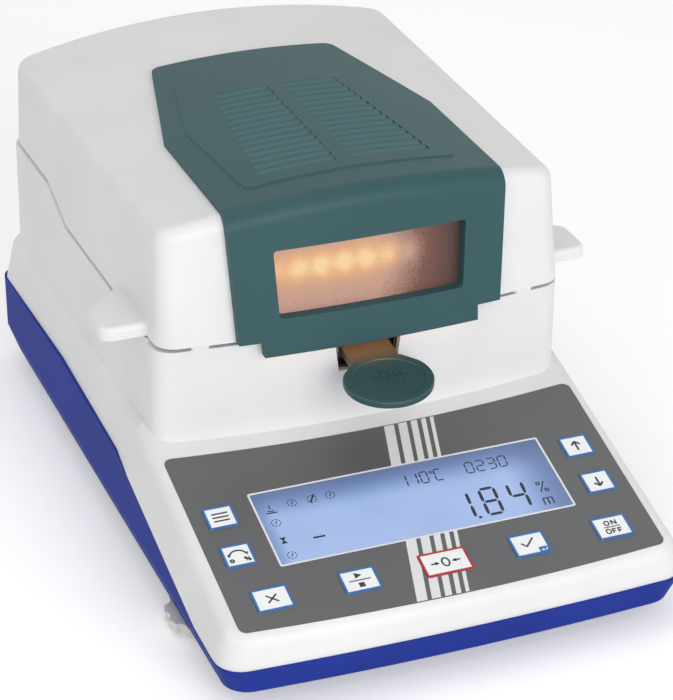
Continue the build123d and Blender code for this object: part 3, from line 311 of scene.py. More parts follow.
@dataclass(frozen=True)
class Worked(Finish):
    """Bare metal with brushed, rolled or turned marks, which are drawn coarser than they are.

    Attributes:
        lay: the way the marks run.
        pitch: spacing of the marks in mm.
        drift: the colour it drifts to.
        patch: size of the drift's patches in mm.
        depth: the marks' depth in mm.
        strength: the marks' strength.
        centre: for turned marks, the axis' place in mm.
        swing: how far the roughness goes under and over its middle.
    """

    metallic: float = 1.0
    lay: Lay = Lay.ALONG_X
    pitch: float = 0.6
    drift: str = "#B0B0B0"
    patch: float = 14.0
    depth: float = 0.02
    strength: float = 0.3
    centre: tuple[float, float, float] = (0.0, 0.0, 0.0)
    swing: tuple[float, float] = (0.08, 0.1)

    def pattern(self, on: Swatch) -> None:
        """Adds marks stretched along the lay, or rings round the centre.

        Args:
            on: the material in the making.
        """
        if self.lay is Lay.TURNED:
            shift = tuple(-c * MM for c in self.centre)
            moved = add_node(on.tree, "Mapping", {"Vector": on.place, "Location": shift})
            marks = add_node(on.tree, "TexWave",
                             on.sized(self.pitch * 2, 2.0) | {"Vector": moved, "Distortion": 1.5},
                             wave_type="RINGS", rings_direction="Z")
        else:
            moved = add_node(on.tree, "Mapping", {"Vector": on.place, "Scale": self.lay.value})
            marks = add_node(on.tree, "TexNoise", on.sized(self.pitch, 5.0) | {"Vector": moved})
        height = marks.outputs["Fac"]
        on.vary(self.colour, self.drift, self.patch)
        on.relieve(height, self.depth, self.strength)
        on.dull(height, self.roughness - self.swing[0], self.roughness + self.swing[1])


@dataclass(frozen=True)
class Glazed(Finish):
    """Clear glass, with the faint waves of a drawn or pressed surface.

    Attributes:
        wave: spacing of the waves in mm.
        depth: the waves' depth in mm.
        strength: how much of them shows.
        glow: hex colour of a painted glow held in the glass.
        power: the glow's strength, 0 for none.
    """

    wave: float = 12.0
    depth: float = 0.05
    strength: float = 0.15
    glow: str = "#000000"
    power: float = 0.0

    def pattern(self, on: Swatch) -> None:
        """Makes the shader clear, gives it its painted glow if it has one, and adds slow waves.

        Args:
            on: the material in the making.
        """
        on.shader.inputs["Transmission Weight"].default_value = 1.0
        # painted glow: emission that stands in for light scattered in the glass
        if self.power:
            on.shader.inputs["Emission Color"].default_value = linear(self.glow)
            on.shader.inputs["Emission Strength"].default_value = self.power
        waves = add_node(on.tree, "TexNoise", on.sized(self.wave, 1.0))
        on.relieve(waves, self.depth, self.strength)


@dataclass(frozen=True)
class Glowing(Finish):
    """A hot body that gives its own light, brighter in its middle turns.

    Attributes:
        hot: the light's colour where it is hottest.
        power: the light's strength.
        turn: spacing of hot and cooler zones in mm.
    """

    hot: str = "#FFB060"
    power: float = 6.0
    turn: float = 9.0

    def pattern(self, on: Swatch) -> None:
        """Lights the shader in zones along X.

        Args:
            on: the material in the making.
        """
        wave = add_node(on.tree, "TexWave", {"Vector": on.place, "Scale": 0.5 / (self.turn * MM)},
                        bands_direction="X")
        on.light(wave.outputs["Fac"], ((0.0, self.colour), (1.0, self.hot)), self.power)


@dataclass(frozen=True)
class PaintedGlowPane(Finish):
    """Frosted heat-resistant glass with a painted glow of the lamp's bright zones behind it.

    Attributes:
        middle: x of one bright zone in mm.
        pitch: spacing of the bright zones in mm.
        sway: how far the zones wander in all, in mm.
        wander: size of that wandering's patches in mm.
        row: height of the bright row in mm.
        spread: half height of the bright row in mm.
        centre: x of the bright row's middle in mm.
        reach: half length of the bright row in mm.
        fill: strength of the painted even glow.
        fade: x where the painted even glow starts to fall, and where it has gone, in mm.
        speck: the frosting's specks in mm; the real 0.3 mm is drawn coarser to show.
        grit: how much the specks show.
        power: the painted glow's strength.
    """

    middle: float = -0.5
    pitch: float = 10.0
    sway: float = 5.0
    wander: float = 17.0
    row: float = 137.0
    spread: float = 4.6
    centre: float = -12.0
    reach: float = 29.0
    fill: float = 0.6
    fade: tuple[float, float] = (4.0, 40.0)
    speck: float = 0.9
    grit: float = 0.22
    power: float = 0.92

    def pattern(self, on: Swatch) -> None:
        """Paints a glowing row of soft zones: a cosine along X by a bell over Z, broken up by
        noise.

        The row's ends fall off as a bell of the fourth power of X. A painted even glow, for the
        chamber's light behind the frosting, is a wide bell over Z that falls towards the right end.

        Args:
            on: the material in the making.
        """
        wander = add_node(on.tree, "TexNoise", on.sized(self.wander, 2.0))
        specks = add_node(on.tree, "TexNoise", on.sized(self.speck, 3.0))
        x, _, z = add_node(on.tree, "SeparateXYZ", (on.place,)).outputs
        start, end = self.fade
        fall = add_node(on.tree, "MapRange", (x, start * MM, end * MM, 1.0, 0.0))
        level = on.work_out(
            {"x": x, "z": z, "wander": wander, "specks": specks, "fall": fall},
            ("sway", "MULTIPLY_ADD", "wander", self.sway * MM, -self.sway / 2 * MM),
            ("across", "ADD", "x", "sway"),
            ("turns", "MULTIPLY_ADD", "across", math.tau / (self.pitch * MM),
             -math.tau * self.middle / self.pitch),
            ("wave", "COSINE", "turns"),
            ("zones", "MULTIPLY_ADD", "wave", 0.2, 0.8),
            ("up", "MULTIPLY_ADD", "z", 1 / (self.spread * MM), -self.row / self.spread),
            ("up squared", "MULTIPLY", "up", "up"),
            ("narrow", "MULTIPLY", "up squared", -0.8),
            ("bell", "EXPONENT", "narrow"),
            ("side", "MULTIPLY_ADD", "x", 1 / (self.reach * MM), -self.centre / self.reach),
            ("out", "ABSOLUTE", "side"),
            ("fourth power", "POWER", "out", 4.0),
            ("long", "MULTIPLY", "fourth power", -0.9),
            ("tail", "EXPONENT", "long"),
            ("lit", "MULTIPLY", "zones", "bell"),
            ("row", "MULTIPLY", "lit", "tail"),
            ("broad", "MULTIPLY", "up squared", -0.016),
            ("wide", "EXPONENT", "broad"),
            ("haze", "MULTIPLY", "wide", "fall"),
            ("glow", "MULTIPLY", "haze", self.fill),
            ("grit", "MULTIPLY_ADD", "specks", self.grit, -self.grit / 2),
            ("half row", "MULTIPLY", "row", 0.5),
            ("both", "ADD", "half row", "glow"),
            ("level", "ADD", "both", "grit"))
        # painted glow: the ramp paints the lamps' light seen through the frosting, dim at 0 and
        # pale yellow at 1
        on.light(level, ((0.0, "#24100C"), (0.25, "#6A4034"), (0.5, "#BC9282"),
                         (0.75, "#E6AE7C"), (1.0, "#F6D29C")), self.power)
        on.relieve(specks, 0.05, 0.3)


@dataclass(frozen=True)
class BacklitCrystal(Finish):
    """A backlit liquid-crystal panel, dimmer along its far, left and right edges.

    Attributes:
        lit: the colour of the lit middle.
        between: the colour halfway to the edge.
        dim: the colour of the dim edge.
        half: half width of the panel in mm.
        top: y of the panel's upper edge in mm.
        fades: how wide the far, right and left fades are, in mm.
        cloud: size of the light's slow patches in mm.
        power: the backlight's strength.
    """

    lit: str = "#ACC4F0"
    between: str = "#8BA4D4"
    dim: str = "#5A6E98"
    half: float = 63.8
    top: float = -91.6
    fades: tuple[float, float, float] = (17.0, 24.0, 6.0)
    cloud: float = 30.0
    power: float = 0.86

    def pattern(self, on: Swatch) -> None:
        """Lights the panel evenly and dims it towards the upper edge and the two sides.

        Args:
            on: the material in the making.
        """
        x, y, _ = add_node(on.tree, "SeparateXYZ", (on.place,)).outputs
        known = {
            name: add_node(on.tree, "MapRange", (way, start * MM, end * MM, first, last),
                           interpolation_type="SMOOTHSTEP")
            for name, way, start, end, first, last in (
                ("far", y, self.top - self.fades[0], self.top, 1.0, 0.1),
                ("right", x, self.half - self.fades[1], self.half, 1.0, 0.15),
                ("left", x, -self.half, self.fades[2] - self.half, 0.55, 1.0))}
        known["patches"] = add_node(on.tree, "TexNoise", on.sized(self.cloud, 1.0))
        level = on.work_out(
            known,
            ("cloud", "MULTIPLY_ADD", "patches", 0.3, 0.85),
            ("corner", "MULTIPLY", "far", "right"),
            ("start", "MULTIPLY", "left", "cloud"),
            ("level", "MULTIPLY", "corner", "start"))
        on.light(level, ((0.0, self.dim), (0.6, self.between), (1.0, self.lit)), self.power)


@dataclass(frozen=True)
class WarmGlowTinted(Moulded):
    """Moulded plastic with a painted warm glow towards the chamber, for lamp light through the
    notch.

    Attributes:
        glow_tint: the colour of the painted glow where it is full.
        glow_full_y: y where the painted glow is full, in mm.
        glow_gone_y: y where it has gone, in mm.
    """

    glow_tint: str = "#6C6450"
    glow_full_y: float = -64.0
    glow_gone_y: float = -76.0

    def pattern(self, on: Swatch) -> None:
        """Adds the moulded pattern, then mixes its colour towards the painted glow's tint along Y.

        Args:
            on: the material in the making.
        """
        super().pattern(on)
        # painted warm glow: lamp light falling through the notch, strongest next to the chamber
        _, y, _ = add_node(on.tree, "SeparateXYZ", (on.place,)).outputs
        warm = add_node(on.tree, "MapRange", (y, self.glow_gone_y * MM, self.glow_full_y * MM),
                        interpolation_type="SMOOTHSTEP")
        on.tint(warm, self.glow_tint)


@dataclass(frozen=True)
class Louvred(Moulded):
    """Moulded plastic with a painted highlight: a lighter band on each louvre's raised face.

    Attributes:
        louvre_highlight: the colour of the painted highlight.
        first: y of the rear louvre's back edge in mm.
        pitch: spacing of the louvres in mm.
        rows: how many louvres there are.
        bar: half width of the plain bar between the two fields in mm.
        reach: x where the fields end at the rear and in front, in mm.
    """

    louvre_highlight: str = "#4B6F72"
    first: float = 51.0
    pitch: float = 5.8
    rows: int = 15
    bar: float = 3.3
    reach: tuple[float, float] = (28.3, 37.9)

    def pattern(self, on: Swatch) -> None:
        """Adds the moulded pattern, then paints a lighter band, a highlight, on each louvre in the
        two fields.

        The band rises and falls with the share of a pitch. Each field lies between the bar and a
        slanting end: the end's x grows with the count of pitches from the rear.

        Args:
            on: the material in the making.
        """
        super().pattern(on)
        x, y, _ = add_node(on.tree, "SeparateXYZ", (on.place,)).outputs
        slant = (self.reach[1] - self.reach[0]) / self.rows
        amount = on.work_out(
            {"x": x, "y": y},
            ("step", "MULTIPLY_ADD", "y", -1 / (self.pitch * MM), self.first / self.pitch),
            ("share", "FRACT", "step"),
            ("rise", "MULTIPLY", "share", 5.0),
            ("drop", "MULTIPLY_ADD", "share", -6.0, 4.4),
            ("band", "SMOOTH_MIN", "rise", "drop", 0.4),
            ("in a row", "COMPARE", "step", self.rows / 2, self.rows / 2),
            ("side", "ABSOLUTE", "x"),
            ("end", "MULTIPLY_ADD", "step", slant * MM, self.reach[0] * MM),
            ("past bar", "GREATER_THAN", "side", self.bar * MM),
            ("before end", "LESS_THAN", "side", "end"),
            ("in a field", "MULTIPLY", "past bar", "before end"),
            ("on a louvre", "MULTIPLY", "in a row", "in a field"),
            ("amount", "MULTIPLY", "on a louvre", "band"))
        # painted highlight: each louvre's raised face, which faces the front light, is tinted
        # lighter
        on.tint(add_node(on.tree, "Clamp", (amount,)), self.louvre_highlight)


# ABS, spark-eroded mould: an even, slightly warm white with a soft sheen
WHITE_ABS = Moulded("white ABS, fine mould grain", "#E9E9E8", 0.5, 1.54, drift="#E3E3E3")
# ABS, coloured through: a deep blue whose grain catches a dull highlight
BLUE_ABS = Moulded("blue ABS, mould grain", "#263A96", 0.55, 1.54, sheen=0.05, drift="#24368D",
                   grain=1.3)
# glass-filled polyamide: a grey-green with a coarser, drier grain, and a painted highlight on the
# louvres' raised faces
TEAL_POLYAMIDE = Louvred("grey-green polyamide, coarse grain", "#35575B", 0.46, 1.53, sheen=0.2,
                         drift="#325458", grain=1.5, depth=0.04, strength=0.45)
# the same polyamide with a painted warm glow near the chamber, where lamp light falls through the
# notch
TEAL_GRIP = WarmGlowTinted("grey-green polyamide, painted warm glow", "#2E5254", 0.38, 1.53, sheen=0.35,
                       drift="#2B4D4F", grain=1.5)
# printed polyester foil: dark grey with a fine satin emboss
GREY_FOIL = Moulded("printed polyester foil, satin", "#5C5D5F", 0.42, 1.57, drift="#58595B",
                    patch=60.0, grain=0.9, depth=0.01, strength=0.25)
# silicone-backed ABS caps: clean white, a little glossier than the case
WHITE_CAP = Moulded("white ABS key cap", "#F9FAFB", 0.4, 1.54, drift="#F3F5F6", patch=9.0,
                    grain=0.8, depth=0.01)
# screen inks: flat colours with a trace of the mesh
WHITE_INK = Moulded("white screen ink", "#E8E9EA", 0.5, drift="#E1E2E4", patch=20.0, grain=0.7,
                    depth=0.01)
BLUE_INK = Moulded("blue screen ink", "#2F72B8", 0.5, drift="#2B6BB0", patch=12.0, grain=0.7,
                   depth=0.01)
RED_INK = Moulded("red screen ink", "#BE2A34", 0.5, drift="#B3252F", patch=12.0, grain=0.7,
                  depth=0.01)
DARK_INK = Moulded("dark grey screen ink", "#2E3136", 0.5, drift="#26292E", patch=8.0, grain=0.7,
                   depth=0.01)
# liquid-crystal segments: blue-black with a soft edge
SEGMENT_INK = Moulded("dark liquid-crystal segment", "#141A2E", 0.35, drift="#1B2340", patch=6.0,
                      grain=0.8, depth=0.005)
# liquid crystal before its lamp: pale blue light that thins out at the edges
BACKLIT_PANEL = BacklitCrystal("backlit liquid-crystal panel", "#1C2740", 0.3)
# frosted borosilicate with a painted glow: a warm haze with a row of soft bright zones, for the
# lamps' light behind it
PAINTED_GLOW_PANE = PaintedGlowPane("frosted borosilicate pane, painted lamp glow", "#33251F", 0.42, 1.47)
# small dark and pale mouldings: a dull black, an off-white with grit, a plain grey
BLACK_ABS = Moulded("black ABS", "#1C1D1F", 0.5, 1.54, drift="#242527", grain=1.2)
PALE_ABS = Moulded("off-white ABS, coarse grain", "#E6E4DE", 0.5, 1.54, drift="#DCDAD3", grain=1.8,
                   depth=0.06)
GREY_ABS = Moulded("light grey ABS", "#C9CBCC", 0.5, 1.54, drift="#C0C2C4", grain=1.2)
# nitrile rubber: a dead black with no highlight
RUBBER = Moulded("black nitrile rubber", "#17181A", 0.78, 1.52, drift="#202123", patch=8.0,
                 grain=1.6, depth=0.08, strength=0.6)
# steatite: cream white with a close, slightly shiny body
CERAMIC = Moulded("white steatite ceramic", "#E6E1D4", 0.35, 1.6, drift="#D9D3C3", patch=6.0,
                  grain=1.0)
# solder mask: glossy green that dips over the copper
CIRCUIT = Moulded("green solder mask", "#12512F", 0.35, drift="#0E4427", patch=7.0, grain=2.0,
                  depth=0.05, strength=0.5)
# acrylic vial: a bright yellow-green with wet highlights
LEVEL_LIQUID = Glazed("green level fluid in acrylic", "#A8C838", 0.05, 1.49, wave=5.0)
# stainless steel, brushed along or turned: a grey with streaks or rings of light
STEEL = Worked("brushed stainless steel", "#A8A9AA", 0.34, drift="#9A9B9C")
TURNED_STEEL = Worked("turned stainless steel", "#ACADAE", 0.3, drift="#9EA0A1", lay=Lay.TURNED,
                      centre=(0.0, -3.0, 0.0), pitch=1.2)
# aluminium, pressed from rolled sheet or milled: lighter and whiter than the steel
PAN_FOIL = Worked("rolled aluminium, pressed", "#D8D9DB", 0.24, drift="#C8CACC", lay=Lay.TURNED,
                  centre=(0.0, -3.0, 0.0), pitch=1.6)
CELL_ALLOY = Worked("machined aluminium", "#BEC0C4", 0.36, drift="#B2B4B8", lay=Lay.ALONG_Y)
# zinc plate: a grey that drifts to yellow
ZINC = Worked("zinc-plated steel", "#A9ABA6", 0.35, drift="#B4B09C", lay=Lay.UPRIGHT, pitch=0.8)
# bright-rolled reflector sheet: near a mirror, with faint streaks
BRIGHT_ALLOY = Worked("bright rolled aluminium reflector", "#D9D4C8", 0.16, drift="#CFC6B4")
# drawn glass: clear, with slow waves in its reflections; the quartz has a painted glow for the
# coil's light scattered in it
CLEAR_GLASS = Glazed("clear borosilicate glass", "#FFF6EC", 0.02, 1.47)
QUARTZ = Glazed("clear quartz tube", "#FFF2E0", 0.03, 1.46, wave=6.0, glow="#FF9A50", power=0.6)
# tungsten at working heat: orange, paler where it is hottest
TUNGSTEN = Glowing("glowing tungsten coil", "#FF7A28", 0.5)


def dress(finish: Finish, *nodes: str) -> None:
    """Puts a finish on every material slot of the named CAD nodes.

    Args:
        finish: the finish.
        nodes: the CAD nodes' names.
    """
    for name in nodes:
        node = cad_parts[name]
        if not node.material_slots:
            node.data.materials.append(finish.material())
        for slot in node.material_slots:
            slot.material = finish.material()


# Mesh helpers


@dataclass
class Shell:
    """Points and faces of one or more numpy surfaces, gathered into one piece.

    Attributes:
        points: blocks of points, each an (n, 3) array in metres.
        faces: vertex numbers of the faces, counted over all blocks.
        count: how many points there are so far.
    """

    points: list[np.ndarray] = field(default_factory=list)
    faces: list[list[int]] = field(default_factory=list)
    count: int = 0

    def add_grid(self, grid: np.ndarray, wrap_rows: bool = False, wrap_columns: bool = False,
                 caps: bool = False) -> None:
        """Adds a surface given as a grid of points: a face joins each four neighbours.

        Args:
            grid: points as a (rows, columns, 3) array in metres.
            wrap_rows: whether the last row joins the first.
            wrap_columns: whether the last column joins the first.
            caps: whether the first and the last row are closed with a face.
        """
        rows, columns = grid.shape[:2]
        numbers = np.arange(rows * columns).reshape(rows, columns) + self.count
        if wrap_rows:
            numbers = np.vstack([numbers, numbers[:1]])
        if wrap_columns:
            numbers = np.hstack([numbers, numbers[:, :1]])
        quads = np.stack([numbers[:-1, :-1], numbers[:-1, 1:], numbers[1:, 1:], numbers[1:, :-1]],
                         axis=-1)
        self.faces.extend(quads.reshape(-1, 4).tolist())
        if caps:
            self.faces.append(numbers[0, :columns][::-1].tolist())
            self.faces.append(numbers[-1, :columns].tolist())
        self.points.append(grid.reshape(-1, 3))
        self.count += rows * columns

    def mesh(self, name: str, made_of: bpy.types.Material) -> bpy.types.Mesh:
        """Makes one mesh of all the surfaces.

        Args:
            name: the mesh's name.
            made_of: its material.

        Returns:
            The mesh.
        """
        mesh = bpy.data.meshes.new(name)
        mesh.from_pydata(np.vstack(self.points).tolist(), [], self.faces)
        mesh.materials.append(made_of)
        return mesh

    def piece(self, name: str, finish: Finish, body: str, slot: str,
              smooth: bool = False) -> bpy.types.Object:
        """Makes the piece, with its normals outward, and lets it ride on its body.

        Args:
            name: the piece's name.
            finish: its finish.
            body: the CAD body that carries it.
            slot: the record's material slot it belongs to; not used.
            smooth: whether it is shaded smooth.

        Returns:
            The piece.
        """
        mesh = self.mesh(name, finish.material())
        work = bmesh.new()
        work.from_mesh(mesh)
        bmesh.ops.recalc_face_normals(work, faces=work.faces)
        work.to_mesh(mesh)
        work.free()
        mesh.polygons.foreach_set("use_smooth", np.full(len(mesh.polygons), smooth))
        made = put(name, mesh)
        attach(made, body)
        return made


def arc(centre: np.ndarray, radii: tuple[float, float], start: float, end: float,
        count: int) -> np.ndarray:
    """Points of an elliptic arc: the centre plus the radii times the angle's cosine and sine.

    Args:
        centre: across and down the slope, in mm.
        radii: the two radii in mm.
        start: first angle in degrees.
        end: last angle in degrees.
        count: how many points.

    Returns:
        An (n, 2) array in mm.
    """
    turn = np.radians(np.linspace(start, end, count))
    return np.stack([centre[0] + radii[0] * np.cos(turn), centre[1] + radii[1] * np.sin(turn)],
                    axis=-1)


def rounded_loop(centre: tuple[float, float], half: tuple[float, float], radius: float,
                 count: int) -> np.ndarray:
    """Points of a rounded rectangle: four quarter arcs set on the inner corners.

    Args:
        centre: its middle in mm.
        half: its half width and half height in mm.
        radius: the corners' radius in mm.
        count: points in each corner.

    Returns:
        An (n, 2) array in mm, not repeating its first point.
    """
    turn = np.radians(np.concatenate([np.linspace(a, a + 90, count) for a in (0, 90, 180, 270)]))
    sign = np.repeat([[1, 1], [-1, 1], [-1, -1], [1, -1]], count, axis=0)
    inner = sign * (np.array(half) - radius)
    return np.array(centre) + inner + radius * np.stack([np.cos(turn), np.sin(turn)], axis=-1)


@dataclass(frozen=True)
class Deck:
    """The sloping front deck as a drawing board: across it and down it, in mm.

    Attributes:
        top_y: y of the slope's start in mm.
        top_z: height of the slope's start in mm.
        slope: the slope's angle in degrees.
        foil_face: height of the foil's face over the drawing plane in mm.
        key_face: height of the key caps' faces in mm.
        film: thickness of a printed mark in mm.
    """

    top_y: float = -63.3
    top_z: float = 60.985
    slope: float = 14.84
    foil_face: float = -0.1
    key_face: float = 0.3
    film: float = 0.05

    def place(self, across: np.ndarray, down: np.ndarray, lift: np.ndarray) -> np.ndarray:
        """Turns places on the deck into points in metres.

        Args:
            across: distances from the middle line, to the right.
            down: distances down the slope.
            lift: distances off the drawing plane.

        Returns:
            Points with a last axis of 3.
        """
        angle = math.radians(self.slope)
        across, down, lift = np.broadcast_arrays(across, down, lift)
        y = self.top_y - down * math.cos(angle) - lift * math.sin(angle)
        z = self.top_z - down * math.sin(angle) + lift * math.cos(angle)
        return np.stack([across, y, z], axis=-1) * MM

    def ribbon(self, shell: Shell, path: np.ndarray, width: float | np.ndarray, face: float,
               closed: bool = False, under: float = 0.05) -> None:
        """Adds a printed line: a flat oblong section carried along a path on the deck.

        Args:
            shell: the piece that takes it.
            path: (n, 2) places in mm.
            width: the line's width in mm, one for all or one for each place.
            face: height of the face that is printed on, in mm.
            closed: whether the line comes back to its start.
            under: how far it reaches below that face, in mm.
        """
        if closed:
            along = np.roll(path, -1, axis=0) - np.roll(path, 1, axis=0)
        else:
            along = np.gradient(path, axis=0)
        along /= np.linalg.norm(along, axis=1, keepdims=True)
        half = np.broadcast_to(width, len(path))[:, None] / 2
        side = np.stack([-along[:, 1], along[:, 0]], axis=-1) * half
        left, right = path + side, path - side
        ring = np.stack([left, right, right, left], axis=1)
        lift = np.array([face - under, face - under, face + self.film, face + self.film])
        shell.add_grid(self.place(ring[..., 0], ring[..., 1], lift), wrap_rows=closed,
                       wrap_columns=True, caps=not closed)

    def band(self, shell: Shell, left: np.ndarray, right: np.ndarray, down: np.ndarray) -> None:
        """Adds an area printed on the foil between two edges, each a function of the way down.

        Args:
            shell: the piece that takes it.
            left: the left edge in mm, one for each step down.
            right: the right edge in mm, one for each step down.
            down: (n, 2) the steps down for the two edges in mm.
        """
        across = np.stack([left, right, right, left], axis=1)
        steps = np.stack([down[:, 0], down[:, 1], down[:, 1], down[:, 0]], axis=1)
        lift = self.foil_face + self.film * np.array([-1, -1, 1, 1])
        shell.add_grid(self.place(across, steps, lift), wrap_columns=True, caps=True)


DECK = Deck()


class Pen:
    """Draws marks on the deck as lines round one place."""

    def __init__(self, middle: tuple[float, float], width: float, face: float) -> None:
        """Sets the pen and starts an empty piece.

        Args:
            middle: the place that marks are given from, across and down the deck in mm.
            width: the lines' width in mm.
            face: height of the face that is printed on, in mm.
        """
        self.middle = np.array(middle, dtype=float)
        self.width = width
        self.face = face
        self.shell = Shell()

    def stroke(self, places: np.ndarray, width: float | np.ndarray | None = None,
               closed: bool = False) -> None:
        """Draws one line through all the places.

        Args:
            places: (n, 2) places from the middle in mm.
            width: the line's width in mm, one or one for each place, if it isn't the pen's.
            closed: whether the line comes back to its start.
        """
        DECK.ribbon(self.shell, self.middle + places, self.width if width is None else width,
                    self.face, closed)

    def line(self, *places: tuple[float, float], width: float | None = None) -> None:
        """Draws straight runs through the places, each run a line of its own.

        Args:
            places: the places from the middle in mm.
            width: the lines' width in mm, if it isn't the pen's.
        """
        points = np.array(places, dtype=float)
        for start, end in zip(points[:-1], points[1:]):
            self.stroke(np.linspace(start, end, 3), width)

    def curve(self, centre: tuple[float, float], radii: tuple[float, float], start: float = 0.0,
              end: float = 360.0, count: int = 25) -> None:
        """Draws an elliptic arc, or a whole ellipse.

        Args:
            centre: its middle from the pen's middle in mm.
            radii: its two radii in mm.
            start: first angle in degrees.
            end: last angle in degrees.
            count: how many points it has.
        """
        whole = abs(end - start) >= 360
        path = arc(np.array(centre), radii, start, end, count)
        self.stroke(path[:-1] if whole else path, closed=whole)

    def head(self, tip: tuple[float, float], turn: float, size: float) -> None:
        """Draws a filled arrowhead: a line that widens from its tip.

        Args:
            tip: the tip from the middle in mm.
            turn: the way it points in degrees, 0 to the right and 90 up.
            size: its length and width in mm.
        """
        way = np.array([math.cos(math.radians(turn)), -math.sin(math.radians(turn))])
        path = np.array(tip) - np.outer(np.linspace(0, size, 4), way)
        self.stroke(path, np.linspace(0.05, size, 4))


@dataclass(frozen=True)
class Key:
    """One key of the panel.

    Attributes:
        name: its CAD node's name without the prefix, and its body's name without the suffix.
        across: its middle's place across the deck in mm.
        down: its middle's place down the deck in mm.
        half: half width and half height in mm.
    """

    name: str
    across: float
    down: float
    half: tuple[float, float]


class Sign(Enum):
    """The signs on the keys, each a plain generic one."""

    LIST = "three lines"
    CHANGE = "a change-over arc between two unit signs"
    CROSS = "a cross"
    RUN_HALT = "a run sign over a halt sign"
    ZERO = "arrows to a nought"
    TICK = "a tick"
    ON_OFF = "ON over OFF"
    UP = "an arrow up"
    DOWN = "an arrow down"


